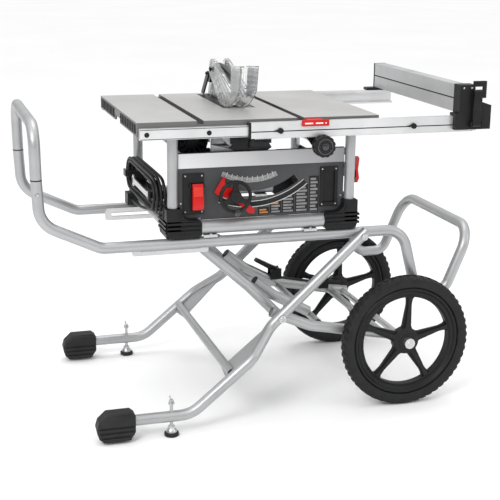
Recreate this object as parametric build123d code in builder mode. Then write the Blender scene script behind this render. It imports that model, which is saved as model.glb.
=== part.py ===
from build123d import *
import os
from math import atan2, cos, degrees, pi, radians, sin, sqrt

# A portable table saw on a rolling folding stand. Millimetres, +Z up. The origin lies on the
# floor under the middle of the whole machine, X runs along its length from the push handle
# to the rest loop, and -Y is the side where the operator stands.

# ---- driving dimensions ----
half_length = 671          # from the middle to the push handle and to the rest loop
table_top = 891
table_left, table_right = -385, 317
table_front, table_back = -289, 293
table_plate = 7
skirt_depth, skirt_wall = 38, 6
slot_width, slot_depth = 19, 5
miter_slots = (-208, 81)   # X of the two miter slots
blade_x = -45
blade_radius = 127
arbor_y, arbor_z = 103, 843
tilt_most = 47             # degrees
rail_radius, rail_wall = 16, 2
rail_side, rail_z = 243, 537
post_radius = 15
posts_x = (-276, 253)
posts_y = (-238, 253)
base_radius, base_z = 20, 580
panel_y = -234             # front face of the front panel
panel_bottom, panel_top = 600, 793
shaft_x, shaft_z = -104, 672      # handwheel shaft
wheel_radius, wheel_width = 203, 50
hub_x, hub_z = 430, 203
wheel_side = 290
leg_side, foot_side = 277, 345
fold_pivot = (284, 535)    # X, Z of the bolts that hold the foot legs to the rails
cross_pivot = (35, 304)    # X, Z of the shaft where the legs cross
brace_side = 198
brace_pin = (-195, 522)    # X, Z of the pin in the slotted tracks
floor_tube_z = 58
bumper_arm, bumper_half, bumper_low = 107, 26, 554
gap = 0.4                  # between faces that pass each other

under_table = table_top - table_plate
rail_out = rail_side + rail_radius
rail_in = rail_side - rail_radius
SIDES = ((-1, "front"), (1, "rear"))


# ---- helpers that add to the part being built ----
def save(piece, label):
    """Labels a finished piece and writes it to its own file."""
    piece.label = label
    os.makedirs("parts", exist_ok=True)
    export_step(piece, f"parts/{label}.step")


def block(low, high, mode=Mode.ADD):
    """A box between two opposite corners."""
    size = [b - a for a, b in zip(low, high)]
    with Locations(tuple((a + b) / 2 for a, b in zip(low, high))):
        Box(*size, mode=mode)


def bar(start, end, radius, bore=0, mode=Mode.ADD):
    """A straight round bar, or a pipe when it has a bore."""
    run = Vector(*end) - Vector(*start)
    with BuildSketch(Plane(origin=start, z_dir=run)) as section:
        Circle(radius)
        if bore:
            Circle(bore, mode=Mode.SUBTRACT)
    extrude(section.sketch, amount=run.length, mode=mode)


def bent_tube(points, bends, radius=rail_radius, wall=rail_wall):
    """A tube along straight runs joined by bends of the radii given."""
    with BuildLine() as route:
        FilletPolyline(*points, radius=bends)
    with BuildSketch(Plane(origin=route.line @ 0, z_dir=route.line % 0)) as section:
        Circle(radius)
        if wall:
            Circle(radius - wall, mode=Mode.SUBTRACT)
    sweep(section.sketch, path=route.wires()[0])


def prism(plane, points, depth, mode=Mode.ADD, inset=0):
    """A flat plate of the outline given, or of one a little inside it, standing on a plane."""
    with BuildSketch(plane) as outline:
        with BuildLine():
            Polyline(*points, close=True)
        make_face()
        if inset:
            offset(amount=-inset, kind=Kind.INTERSECTION, mode=Mode.REPLACE)
    extrude(outline.sketch, amount=depth, mode=mode)


def seen_from_front(low, high):
    """The plane for an outline in X and Z, and the depth that fills Y from low to high."""
    return Plane.XZ.offset(-high), high - low


def seen_from_side(low, high):
    """The plane for an outline in Y and Z, and the depth that fills X from low to high."""
    return Plane.YZ.offset(low), high - low


def arc_plate(inner, outer, first, last, y_low, y_high, mode=Mode.ADD):
    """Part of a ring about the tilt axis. Angles are from straight down, positive to the right."""
    plane, depth = seen_from_front(y_low, y_high)
    span = last - first
    with BuildSketch(plane) as ring:
        with BuildLine():
            centre = (blade_x, table_top)
            far = CenterArc(centre, outer, first - 90, span)
            near = CenterArc(centre, inner, first - 90, span)
            Line(far @ 0, near @ 0)
            Line(far @ 1, near @ 1)
        make_face()
    extrude(ring.sketch, amount=depth, mode=mode)


def about_tilt_axis(radius, angle):
    """X and Z of a point at a radius from the tilt axis, at an angle from straight down."""
    return blade_x + radius * sin(radians(angle)), table_top - radius * cos(radians(angle))


# ---- table ----
throat_low, throat_high = (-80, -62), (18, 269)
ledge = 8
plate_thick = 5
with BuildPart() as table:
    block((table_left, table_front, table_top - skirt_depth), (table_right, table_back, table_top))
    block(
        (table_left + skirt_wall, table_front + skirt_wall, table_top - skirt_depth),
        (table_right - skirt_wall, table_back - skirt_wall, under_table),
        mode=Mode.SUBTRACT,
    )
    # each slot has a rib below it, because it is nearly as deep as the plate
    for x in miter_slots:
        block(
            (x - slot_width / 2 - 5, table_front + skirt_wall, under_table - 6),
            (x + slot_width / 2 + 5, table_back - skirt_wall, under_table),
        )
        block(
            (x - slot_width / 2, table_front, table_top - slot_depth - 4),
            (x + slot_width / 2, table_back, table_top),
            mode=Mode.SUBTRACT,
        )
    block(
        (throat_low[0] + ledge, throat_low[1] + ledge, table_top - 20),
        (throat_high[0] - ledge, throat_high[1] - ledge, table_top),
        mode=Mode.SUBTRACT,
    )
    block((*throat_low, table_top - plate_thick), (*throat_high, table_top), mode=Mode.SUBTRACT)
    # hand hole in each side skirt
    for x in (table_left, table_right - skirt_wall):
        block((x, -40, table_top - skirt_depth), (x + skirt_wall, 40, table_top - 24), mode=Mode.SUBTRACT)
save(table.part, "table")

with BuildPart() as throat_plate:
    block(
        (throat_low[0] + gap, throat_low[1] + gap, table_top - plate_thick),
        (throat_high[0] - gap, throat_high[1] - gap, table_top),
    )
    block((blade_x - 4, -45, table_top - plate_thick), (blade_x + 9, 262, table_top), mode=Mode.SUBTRACT)
    with Locations((throat_low[0] + 14, throat_low[1] + 14, table_top)):
        CounterSinkHole(2.5, 4.5)
save(throat_plate.part, "throat_plate")

# ---- fixed guide bars and the sliding rails that wrap them ----
bar_low, bar_high = 845, 876
slide_low, slide_high = 840, 884
bar_span = (-380, 315)
slide_span = (-77, 615)
rack_pitch = 7
teeth = 2
end_cap = 7
with BuildPart() as guide_bars:
    for y_low, y_high in ((table_front - 17, table_front - 1), (table_back + 1, table_back + 17)):
        block((bar_span[0], y_low, bar_low), (bar_span[1], y_high, bar_high))
        block((bar_span[0], y_low + 4, bar_low + 4), (bar_span[1], y_high - 4, bar_high - 4), Mode.SUBTRACT)
    # spacers that hold each bar to the skirt of the table
    for x in (-361, -188, 0, 172, 300):
        block((x - 8, table_front - 1, bar_low + 6), (x + 8, table_front, bar_high - 2))
        block((x - 8, table_back, bar_low + 6), (x + 8, table_back + 1, bar_high - 2))
save(guide_bars.part, "guide_bars")

with BuildPart() as sliding_rails:
    for side, face in ((-1, table_front - 23), (1, table_back + 23)):
        inner = face - side * 18
        low_y, high_y = min(face, inner), max(face, inner)
        block((slide_span[0] + end_cap, low_y, slide_low), (slide_span[1], high_y, slide_high))
        hollow = sorted((face - side * 4, inner))
        block(
            (slide_span[0], hollow[0], bar_low - gap),
            (slide_span[1], hollow[1], bar_high + gap),
            mode=Mode.SUBTRACT,
        )
        # the groove along the outer face
        groove = sorted((face, face - side * 1.5))
        block((slide_span[0], groove[0], 857), (slide_span[1], groove[1], 860), mode=Mode.SUBTRACT)
        count = int((slide_span[1] - slide_span[0] - 24) / rack_pitch)
        middle = (slide_span[0] + end_cap + slide_span[1]) / 2
        with Locations((middle, face - side * 3.5, slide_low - teeth / 2)):
            with GridLocations(rack_pitch, 1, count, 1):
                Box(rack_pitch / 2, 7, teeth)
save(sliding_rails.part, "sliding_rails")

cam_z = 860
with BuildPart() as rail_fittings:
    for side, face in ((-1, table_front - 23), (1, table_back + 23)):
        inner = face - side * 18
        low_y, high_y = min(face, inner), max(face, inner)
        block((slide_span[0], low_y, slide_low), (slide_span[0] + end_cap, high_y, slide_high))
        hollow = sorted((face - side * 4, inner))
        block(
            (slide_span[0], hollow[0], bar_low - gap),
            (slide_span[0] + end_cap, hollow[1], bar_high + gap),
            mode=Mode.SUBTRACT,
        )
        # locking cams with a pointed tab, where the fence is registered
        for x in (14, 415):
            y_low, y_high = sorted((face, face + side * 6))
            bar((x, y_low, cam_z), (x, y_high, cam_z), 8)
            y_low, y_high = sorted((face, face + side * 3))
            plane, depth = seen_from_front(y_low, y_high)
            prism(plane, ((x, cam_z + 5), (x - 20, cam_z), (x, cam_z - 5)), depth)
save(rail_fittings.part, "rail_fittings")

pinion_x, pinion_z, pinion_pitch = 137, 815, 24
front_face, rear_face = table_front - 23, table_back + 23
with BuildPart() as pinion_shaft:
    bar((pinion_x, front_face - 18, pinion_z), (pinion_x, rear_face, pinion_z), 6)
    for low_y in (front_face, rear_face - 7):
        top = slide_low - teeth - gap - pinion_z
        bar((pinion_x, low_y, pinion_z), (pinion_x, low_y + 7, pinion_z), top)
        plane, depth = seen_from_front(low_y, low_y + 7)
        with BuildSketch(plane) as notches:
            with Locations((pinion_x, pinion_z)):
                with PolarLocations(top, 21):
                    Rectangle(2 * teeth, rack_pitch / 2)
        extrude(notches.sketch, amount=depth, mode=Mode.SUBTRACT)
save(pinion_shaft.part, "pinion_shaft")

knob_radius = 31
knob_back = front_face - 4
with BuildPart() as rail_knob:
    bar((pinion_x, knob_back - 26, pinion_z), (pinion_x, knob_back, pinion_z), knob_radius)
    plane, depth = seen_from_front(knob_back - 26, knob_back - 8)
    with BuildSketch(plane) as scallops:
        with Locations((pinion_x, pinion_z)):
            with PolarLocations(knob_radius + 5, 12):
                Circle(7)
    extrude(scallops.sketch, amount=depth, mode=Mode.SUBTRACT)
    bar((pinion_x, front_face - 18, pinion_z), (pinion_x, knob_back, pinion_z), 6, mode=Mode.SUBTRACT)
save(rail_knob.part, "rail_knob")

lock_x, lock_y = -62, -300
lock_top = slide_low - teeth - gap
with BuildPart() as rail_lock_lever:
    bar((lock_x, lock_y, 816), (lock_x, lock_y, lock_top), 7)
    prism(
        Plane.XY.offset(818),
        ((lock_x - 8, lock_y - 7), (lock_x + 30, lock_y - 9), (lock_x + 44, lock_y - 4),
         (lock_x + 44, lock_y + 6), (lock_x - 8, lock_y + 7)),
        12,
    )
    bar((lock_x, lock_y, 815), (lock_x, lock_y, 832), 3.05, mode=Mode.SUBTRACT)
save(rail_lock_lever.part, "rail_lock_lever")

with BuildPart() as scale_pointer:
    block((76, front_face - 5, 870), (156, front_face - 1, slide_high + 4))
    block((92, front_face - 5, slide_high + 1), (140, table_front, slide_high + 4))
save(scale_pointer.part, "scale_pointer")

# ---- rip fence ----
fence_left, fence_right = 555, 593
fence_low, fence_high = 893, 972
fence_front, fence_back = -290, 322
with BuildPart() as fence_beam:
    block((fence_left, fence_front, fence_low), (fence_right, fence_back, fence_high))
    block(
        (fence_left + 3, fence_front, fence_low + 3),
        (fence_right - 3, fence_back, fence_high - 3),
        mode=Mode.SUBTRACT,
    )
    # the slot along each face
    for x in (fence_left, fence_right - 1.5):
        block((x, fence_front, 930), (x + 1.5, fence_back, 934), mode=Mode.SUBTRACT)
save(fence_beam.part, "fence_beam")

lever_y, lever_z = front_face - 26, 862
with BuildPart() as fence_clamps:
    # front carriage: over the rail, down its face, and up to the end of the beam
    block((538, front_face - 18, slide_high + 0.6), (650, table_front - 3, fence_low))
    block((538, front_face - 18, 846), (650, front_face - 1, slide_high + 0.6))
    block((548, front_face - 18, fence_low), (596, fence_front, fence_high + 3))
    plane, depth = seen_from_front(front_face - 18, front_face + 8)
    prism(plane, ((596, fence_low), (650, fence_low), (650, 915), (620, 925), (596, 925)), depth)
    # hook for hanging the fence up
    block((596, front_face - 10, 968), (636, front_face - 2, 984))
    block((626, front_face - 10, 935), (636, front_face - 2, 984))
    # rear clamp: a shoe under the beam and a lip behind the rear rail
    block((520, table_back + 4, slide_high + 0.6), (600, rear_face + 12, fence_low))
    block((575, rear_face + 1, 858), (600, rear_face + 12, slide_high + 0.6))
    block((fence_left, fence_back, fence_low), (fence_right, fence_back + 5, fence_high))
    # ears and pin of the locking lever
    for x in (581, 615):
        block((x, lever_y - 6, 854), (x + 4, front_face - 18, 870))
    bar((581, lever_y, lever_z), (619, lever_y, lever_z), 3)
save(fence_clamps.part, "fence_clamps")

lever_back = front_face - 19.5
with BuildPart() as fence_lever:
    plane, depth = seen_from_side(587, 613)
    prism(
        plane,
        ((lever_back, 864), (lever_back, 955), (lever_back - 6, 962), (lever_back - 14, 958),
         (lever_back - 10, 900), (lever_back - 13, 864)),
        depth,
    )
    bar((587, lever_y, lever_z), (613, lever_y, lever_z), 6.5)
    bar((586, lever_y, lever_z), (614, lever_y, lever_z), 3.05, mode=Mode.SUBTRACT)
save(fence_lever.part, "fence_lever")

# ---- saw base: posts, ring of tubes and corner bumpers ----
with BuildPart() as base_frame:
    for x in posts_x:
        for y in posts_y:
            bar((x, y, 600), (x, y, under_table), post_radius, post_radius - 2)
    reach = 24
    for y in posts_y:
        bar((posts_x[0] + reach, y, base_z), (posts_x[1] - reach, y, base_z), base_radius, base_radius - 2)
    for x in posts_x:
        bar((x, posts_y[0] + reach, base_z), (x, posts_y[1] - reach, base_z), base_radius, base_radius - 2)
save(base_frame.part, "base_frame")

with BuildPart() as corner_bumpers:
    for x, into_x in ((posts_x[0], 1), (posts_x[1], -1)):
        for y, into_y in ((posts_y[0], 1), (posts_y[1], -1)):
            x_ends = sorted((x - into_x * bumper_half, x + into_x * (bumper_arm - bumper_half)))
            y_ends = sorted((y - into_y * bumper_half, y + into_y * (bumper_arm - bumper_half)))
            block((x_ends[0], y - bumper_half, bumper_low), (x_ends[1], y + bumper_half, 606))
            block((x - bumper_half, y_ends[0], bumper_low), (x + bumper_half, y_ends[1], 606))
            bar((x, y, 606), (x, y, 640), post_radius + 6)
            bar((x, y, 600), (x, y, 640), post_radius + 0.05, mode=Mode.SUBTRACT)
            far_x, far_y = x + into_x * 150, y + into_y * 150
            bar((x + into_x * reach, y, base_z), (far_x, y, base_z), base_radius + 0.05, mode=Mode.SUBTRACT)
            bar((x, y + into_y * reach, base_z), (x, far_y, base_z), base_radius + 0.05, mode=Mode.SUBTRACT)
save(corner_bumpers.part, "corner_bumpers")

# ---- front panel ----
slot_radius = sqrt((shaft_x - blade_x) ** 2 + (table_top - shaft_z) ** 2)
slot_angle = degrees(atan2(shaft_x - blade_x, table_top - shaft_z))
panel_left, panel_right = -259, 236
switch_box = ((-246, 619), (-186, 735))
paddle_low, paddle_high = (-221, 633), (-190, 704)
with BuildPart() as front_panel:
    block((panel_left, panel_y, panel_bottom), (panel_right, panel_y + 4, panel_top))
    # folded lips along the top, clear of the cradle, and a strip across the upper part
    block((panel_left, panel_y, panel_top - 4), (-125, panel_y + 9, panel_top))
    block((30, panel_y, panel_top - 4), (panel_right, panel_y + 9, panel_top))
    block((panel_left, panel_y - 2, 750), (panel_right, panel_y, panel_top))
    for z in (640, 770):
        block((posts_x[0] + 10, panel_y, z), (panel_left, panel_y + 4, z + 20))
        block((panel_right, panel_y, z), (posts_x[1] - 10, panel_y + 4, z + 20))
    # the corners make room for the bumpers
    for x, into_x in ((posts_x[0], 1), (posts_x[1], -1)):
        x_ends = sorted((x, x + into_x * (bumper_arm - bumper_half + 1)))
        block((x_ends[0], panel_y - 5, 590), (x_ends[1], panel_y + 12, 606.5), mode=Mode.SUBTRACT)
        bar((x, posts_y[0], 590), (x, posts_y[0], 641), post_radius + 6.5, mode=Mode.SUBTRACT)
    arc_plate(
        slot_radius - 12, slot_radius + 12, slot_angle - 5, slot_angle + tilt_most + 5,
        panel_y - 3, panel_y + 6, mode=Mode.SUBTRACT,
    )
    block((-240, panel_y - 1, 626), (-192, panel_y + 6, 710), mode=Mode.SUBTRACT)
    block((170, panel_y - 1, 628), (210, panel_y + 6, 729), mode=Mode.SUBTRACT)
save(front_panel.part, "front_panel")

with BuildPart() as panel_plates:
    # switch box: a faceplate with a window, and the box behind it
    block((switch_box[0][0], panel_y - 6, switch_box[0][1]), (switch_box[1][0], panel_y, switch_box[1][1]))
    block((-239, panel_y, 627), (-193, panel_y + 34, 709))
    block((-225, panel_y - 6, 629), (-189, panel_y - 1, 709), mode=Mode.SUBTRACT)
    # ears and pin of the paddle
    paddle_y, paddle_z = panel_y - 13, 702
    for low_x, high_x in ((-229, -225), (-189, -186)):
        block((low_x, panel_y - 16, 697), (high_x, panel_y - 6, 707))
    bar((-229, paddle_y, paddle_z), (-186, paddle_y, paddle_z), 2)
    # blank plate with a shallow pocket
    block((163, panel_y - 4, 620), (217, panel_y, 737))
    block((171, panel_y, 629), (209, panel_y + 6, 728))
    block((172, panel_y - 4, 632), (208, panel_y + 2, 725), mode=Mode.SUBTRACT)
save(panel_plates.part, "panel_plates")

with BuildPart() as switch_paddle:
    plane, depth = seen_from_side(paddle_low[0], paddle_high[0])
    prism(
        plane,
        ((panel_y - 8, 707), (panel_y - 8, 633), (panel_y - 20, 633), (panel_y - 24, 648),
         (panel_y - 22, 668), (panel_y - 17, 700), (panel_y - 14, 707)),
        depth,
    )
    bar((-222, paddle_y, paddle_z), (-189, paddle_y, paddle_z), 2.05, mode=Mode.SUBTRACT)
save(switch_paddle.part, "switch_paddle")

# ---- brackets under the table: the curved trunnion ribs, the pinion ears and the lock ear ----
rib_in, rib_out = 70, 78
end_faces = ((-1, 213.5), (1, 260))   # inner faces of the cradle's two end plates
end_thick = 9
with BuildPart() as under_table_brackets:
    for side, face in end_faces:
        outer = sorted((side * (face + end_thick + 0.5), side * (face + end_thick + 6.5)))
        arc_plate(60, 110, -34, 34, outer[0], outer[1])
        rib = sorted((side * (face - 1.5), side * (face + end_thick + 0.5)))
        arc_plate(rib_in, rib_out, -20, 20, rib[0], rib[1])
        # the foot that is bolted to the underside of the table
        block((blade_x - 60, outer[0], 812), (blade_x - 40, outer[1], under_table))
        block((blade_x + 40, outer[0], 812), (blade_x + 60, outer[1], under_table))
        foot = sorted((side * (face + 1), side * (face + end_thick + 6.5)))
        block((blade_x - 75, foot[0], under_table - 6), (blade_x + 75, foot[1], under_table))
    skirt_bottom = table_top - skirt_depth
    for low_y in (table_front, table_back - 5):
        plane, depth = seen_from_front(low_y, low_y + 5)
        prism(
            plane,
            ((85, skirt_bottom), (175, skirt_bottom), (165, 800), (pinion_x - 12, 800)),
            depth,
        )
        bar((pinion_x, low_y - 1, pinion_z), (pinion_x, low_y + 6, pinion_z), 6.05, mode=Mode.SUBTRACT)
    block((lock_x - 10, table_front, 811), (lock_x + 10, table_front + 5, skirt_bottom))
    block((lock_x - 10, lock_y - 7, 811), (lock_x + 10, table_front, 815))
    bar((lock_x, lock_y, 815), (lock_x, lock_y, 831), 3)
save(under_table_brackets.part, "under_table_brackets")

# ---- tilting cradle with the rods that guide the motor ----
front_end, rear_end = end_faces[0][1], end_faces[1][1]
screw_y, guide_x = -186, -134
ear_low, ear_high = 646, 806
with BuildPart() as tilt_cradle:
    for side, face in end_faces:
        plate = sorted((side * face, side * (face + end_thick)))
        arc_plate(60, 104, -68, 24, plate[0], plate[1])
        arc_plate(rib_in - gap, rib_out + gap, -69, 22.5, plate[0], plate[1], mode=Mode.SUBTRACT)
        plane, depth = seen_from_front(*plate)
        prism(plane, ((-160, 812), (-60, 788), (-72, 652), (-136, 652), (-162, 740)), depth)
    # beams that join the two ends
    for x in (-136, -84):
        block((x, -front_end, 652), (x + 12, rear_end, 672))
    # ears that hold the lift screw and the guide rod
    for z in (ear_low, ear_high - 8):
        block((guide_x - 10, -front_end, z), (shaft_x + 12, screw_y + 12, z + 8))
    bar((guide_x, screw_y, ear_low + 6), (guide_x, screw_y, ear_high - 6), 5)
    bar((shaft_x, screw_y, ear_low - 1), (shaft_x, screw_y, ear_high + 1), 4.05, mode=Mode.SUBTRACT)
    bar(
        (shaft_x, -front_end - end_thick - 1, shaft_z), (shaft_x, screw_y + 13, shaft_z), 8.05,
        mode=Mode.SUBTRACT,
    )
save(tilt_cradle.part, "tilt_cradle")

bevel_base = shaft_z + 12
with BuildPart() as lift_screw:
    bar((shaft_x, screw_y, ear_low), (shaft_x, screw_y, ear_high), 4)
    bar((shaft_x, screw_y, bevel_base), (shaft_x, screw_y, ear_high - 8.5), 6)
    bar((shaft_x, screw_y, ear_low + 8.5), (shaft_x, screw_y, shaft_z - 11.5), 6)
    with BuildSketch(Plane.XY.offset(bevel_base)) as bevel:
        with Locations((shaft_x, screw_y)):
            Circle(12)
    extrude(bevel.sketch, amount=6, taper=20)
save(lift_screw.part, "lift_screw")

handwheel_front, handwheel_back = -290, -270
rim_radius = 48
with BuildPart() as handwheel:
    bar((shaft_x, handwheel_front + 4, shaft_z), (shaft_x, screw_y - 13, shaft_z), 8)
    bar((shaft_x, handwheel_front + 2, shaft_z), (shaft_x, handwheel_back + 4, shaft_z), 15)
    plane, depth = seen_from_front(handwheel_front + 4, handwheel_back - 4)
    with BuildSketch(plane) as spokes:
        with Locations((shaft_x, shaft_z)):
            Circle(rim_radius)
            Circle(rim_radius - 9, mode=Mode.SUBTRACT)
            with Locations((0, 0)):
                with PolarLocations(24, 3, start_angle=90):
                    Rectangle(36, 11)
    extrude(spokes.sketch, amount=depth)
    # small bevel gear at the inner end of the shaft
    bar((shaft_x, screw_y - 18, shaft_z), (shaft_x, screw_y - 12.5, shaft_z), 10.5)
    crank = (shaft_x, handwheel_front, shaft_z - 42)
    bar((shaft_x, handwheel_front - 18, crank[2]), (shaft_x, handwheel_front + 8, crank[2]), 3)
save(handwheel.part, "handwheel")

with BuildPart() as crank_knob:
    bar((shaft_x, handwheel_front - 16, crank[2]), (shaft_x, handwheel_front + 3, crank[2]), 9)
    bar((shaft_x, handwheel_front - 20, crank[2]), (shaft_x, handwheel_front + 4, crank[2]), 3.05, mode=Mode.SUBTRACT)
save(crank_knob.part, "crank_knob")

with BuildPart() as bevel_pointer:
    plane, depth = seen_from_front(panel_y - 8, panel_y - 4)
    tip = about_tilt_axis(188, slot_angle - 11)
    prism(
        plane,
        ((shaft_x - 13, shaft_z - 13), (shaft_x + 13, shaft_z - 13), (shaft_x + 13, shaft_z + 13),
         (shaft_x - 20, shaft_z + 20), (tip[0] + 2, tip[1]), (tip[0] - 2, tip[1]),
         (shaft_x - 52, shaft_z + 8), (shaft_x - 44, shaft_z)),
        depth,
    )
    bar((shaft_x, panel_y - 9, shaft_z), (shaft_x, panel_y, shaft_z), 8.4, mode=Mode.SUBTRACT)
    # two struts run back through the curved slot to the cradle
    for x in (-10, 10):
        block((shaft_x + x - 1.5, panel_y - 5, shaft_z - 3), (shaft_x + x + 1.5, -front_end - end_thick, shaft_z + 3))
save(bevel_pointer.part, "bevel_pointer")

lock_out, lock_in = panel_y - 22, panel_y - 10
with BuildPart() as bevel_lock_lever:
    bar((shaft_x, lock_out, shaft_z), (shaft_x, lock_in, shaft_z), 14)
    plane, depth = seen_from_front(lock_out + 2, lock_in - 2)
    prism(
        plane,
        ((shaft_x + 2, shaft_z + 9), (shaft_x + 64, shaft_z - 44), (shaft_x + 62, shaft_z - 57),
         (shaft_x + 48, shaft_z - 56), (shaft_x - 8, shaft_z - 8)),
        depth,
    )
    bar((shaft_x, lock_out - 1, shaft_z), (shaft_x, lock_in + 1, shaft_z), 8.4, mode=Mode.SUBTRACT)
save(bevel_lock_lever.part, "bevel_lock_lever")

# ---- motor, worm gearbox and blade ----
motor_x, motor_z, motor_radius = -198, 812, 47
motor_front, motor_back = -150, 58
with BuildPart() as motor_housing:
    bar((motor_x, motor_front, motor_z), (motor_x, motor_back, motor_z), motor_radius)
    bar((motor_x, motor_front + 6, motor_z), (motor_x, motor_back - 4, motor_z), motor_radius - 4, mode=Mode.SUBTRACT)
    # brush cap in the middle of the front end, and air slots round it
    bar((motor_x, motor_front - 8, motor_z), (motor_x, motor_front, motor_z), 15)
    plane, depth = seen_from_front(motor_front - 1, motor_front + 7)
    with BuildSketch(plane) as vents:
        with Locations((motor_x, motor_z)):
            with PolarLocations(30, 12):
                Rectangle(16, 5)
    extrude(vents.sketch, amount=depth, mode=Mode.SUBTRACT)
    bar((motor_x, motor_back - 5, motor_z), (motor_x, motor_back + 1, motor_z), 7.4, mode=Mode.SUBTRACT)
    # lifting shoe: the screw turns in it, and it slides on the guide rod
    block((-176, -168, 772), (-146, -142, 790))
    block((-152, -202, 772), (shaft_x + 14, -168, 790))
    bar((shaft_x, screw_y, 771), (shaft_x, screw_y, 791), 6 + gap, mode=Mode.SUBTRACT)
    bar((guide_x, screw_y, 771), (guide_x, screw_y, 791), 5.05, mode=Mode.SUBTRACT)
save(motor_housing.part, "motor_housing")

box_front, box_back = motor_back, 152
with BuildPart() as gearbox:
    block((-224, box_front, 770), (-100, box_back, 872))
    block((-219, box_front + 5, 775), (-105, box_back - 5, 867), mode=Mode.SUBTRACT)
    bar((-100, arbor_y, arbor_z), (-58, arbor_y, arbor_z), 24)
    bar((-230, arbor_y, arbor_z), (-50, arbor_y, arbor_z), 10.05, mode=Mode.SUBTRACT)
    bar((motor_x, box_front - 1, motor_z), (motor_x, box_front + 6, motor_z), 7.4, mode=Mode.SUBTRACT)
    # upper blade shroud, on the left of the blade only
    plane, depth = seen_from_side(-57, -54)
    prism(plane, ((20, 730), (180, 730), (180, 830), (140, 872), (60, 872), (20, 830)), depth)
    bar((-58, arbor_y, arbor_z), (-53, arbor_y, arbor_z), 20, mode=Mode.SUBTRACT)
    bar((-62, 160, 800), (-57, 160, 800), 6)
    block((-104, 146, 790), (-57, 152, 810))
save(gearbox.part, "gearbox")

worm_radius, gear_radius = 8.6, 22
with BuildPart() as motor_armature:
    bar((motor_x, motor_front + 10, motor_z), (motor_x, 138, motor_z), 7)
    bar((motor_x, -110, motor_z), (motor_x, 30, motor_z), 28)
    bar((motor_x, arbor_y - 18, motor_z), (motor_x, arbor_y + 18, motor_z), worm_radius)
save(motor_armature.part, "motor_armature")

with BuildPart() as arbor:
    bar((-230, arbor_y, arbor_z), (blade_x - 1.2, arbor_y, arbor_z), 10)
    bar((blade_x - 1.2, arbor_y, arbor_z), (blade_x + 13, arbor_y, arbor_z), 8)
    bar((motor_x - 9, arbor_y, arbor_z), (motor_x + 9, arbor_y, arbor_z), gear_radius)
    bar((blade_x - 9, arbor_y, arbor_z), (blade_x - 1.2, arbor_y, arbor_z), 17.5)
    bar((blade_x + 1.2, arbor_y, arbor_z), (blade_x + 5, arbor_y, arbor_z), 17.5)
    bar((blade_x + 5, arbor_y, arbor_z), (blade_x + 12, arbor_y, arbor_z), 11)
save(arbor.part, "arbor")

tooth_count = 24
with BuildPart() as saw_blade:
    plane, depth = seen_from_side(blade_x - 1.2, blade_x + 1.2)
    with BuildSketch(plane) as disc:
        with Locations((arbor_y, arbor_z)):
            Circle(blade_radius)
            Circle(8, mode=Mode.SUBTRACT)
            with PolarLocations(blade_radius, tooth_count):
                with Locations((0, 5)):
                    Rectangle(16, 9, rotation=25, mode=Mode.SUBTRACT)
    extrude(disc.sketch, amount=depth)
save(saw_blade.part, "saw_blade")

knife_gap, knife_back = 6, 258
with BuildPart() as riving_knife:
    plane, depth = seen_from_side(blade_x - 1.1, blade_x + 1.1)
    inner = blade_radius + knife_gap
    with BuildSketch(plane) as knife:
        with Locations((arbor_y, arbor_z)):
            Circle(inner + 28)
            Circle(inner, mode=Mode.SUBTRACT)
        # above the arbor it follows the blade, and only behind it
        with Locations((arbor_y - 115, arbor_z)):
            Rectangle(400, 400, mode=Mode.SUBTRACT)
        with Locations((arbor_y, 960 + 50)):
            Rectangle(400, 100, mode=Mode.SUBTRACT)
        with Locations((arbor_y, arbor_z - 100)):
            Rectangle(400, 200, mode=Mode.SUBTRACT)
        # below the arbor it is straight, so that the blade can pass in front of it
        with Locations(((arbor_y + inner + knife_back) / 2, (738 + arbor_z) / 2)):
            Rectangle(knife_back - arbor_y - inner, arbor_z - 738)
        with Locations((knife_back + 25, arbor_z)):
            Rectangle(50, 400, mode=Mode.SUBTRACT)
    extrude(knife.sketch, amount=depth)
    # the bracket that holds it to the rear end of the cradle
    block((blade_x - 30, 244, 738), (blade_x - 1.1, knife_back, 754))
    block((blade_x - 30, knife_back, 738), (blade_x - 12, rear_end, 754))
save(riving_knife.part, "riving_knife")

# ---- blade guard ----
guard_pivot = (111, 987)
shield_gap = 15
with BuildPart() as guard_arm:
    plane, depth = seen_from_side(blade_x - 6, blade_x + 6)
    prism(
        plane,
        ((236, 934), (236, 958), (195, 985), (130, 1004), (95, 1004), (0, 990), (-56, 982),
         (-42, 953), (0, 955), (40, 976), (175, 976), (215, 934)),
        depth,
    )
    block((blade_x - 1.2, 190, 925), (blade_x + 1.2, 240, 961), mode=Mode.SUBTRACT)
    bar((blade_x - shield_gap - 18, *guard_pivot), (blade_x + shield_gap + 18, *guard_pivot), 4)
    bar((blade_x - shield_gap - 11, 190, 966), (blade_x + shield_gap + 11, 190, 966), 4)
save(guard_arm.part, "guard_arm")

shield_edge = (
    (139, 972), (12, table_top + 2), (-57, table_top + 1.5), (-127, 913), (-174, 940),
    (-197, 958), (-217, 1026), (-66, 1014), (-50, 960), (84, 1012), (111, 1017), (135, 1008),
)
shield_wide = 12
for side, name in ((-1, "left"), (1, "right")):
    near, far = blade_x + side * shield_gap, blade_x + side * (shield_gap + shield_wide)
    low_x, high_x = min(near, far), max(near, far)
    with BuildPart() as shield:
        plane, depth = seen_from_side(low_x, high_x)
        prism(plane, shield_edge, depth)
        # open on the blade's side, so that a rim runs round the outline
        plane, depth = seen_from_side(*sorted((near, far - side * 3)))
        prism(plane, shield_edge, depth, mode=Mode.SUBTRACT, inset=4)
        bar((low_x, *guard_pivot), (high_x, *guard_pivot), 11)
        bar((low_x - 1, *guard_pivot), (high_x + 1, *guard_pivot), 4.05, mode=Mode.SUBTRACT)
    save(shield.part, f"shield_{name}")

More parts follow.
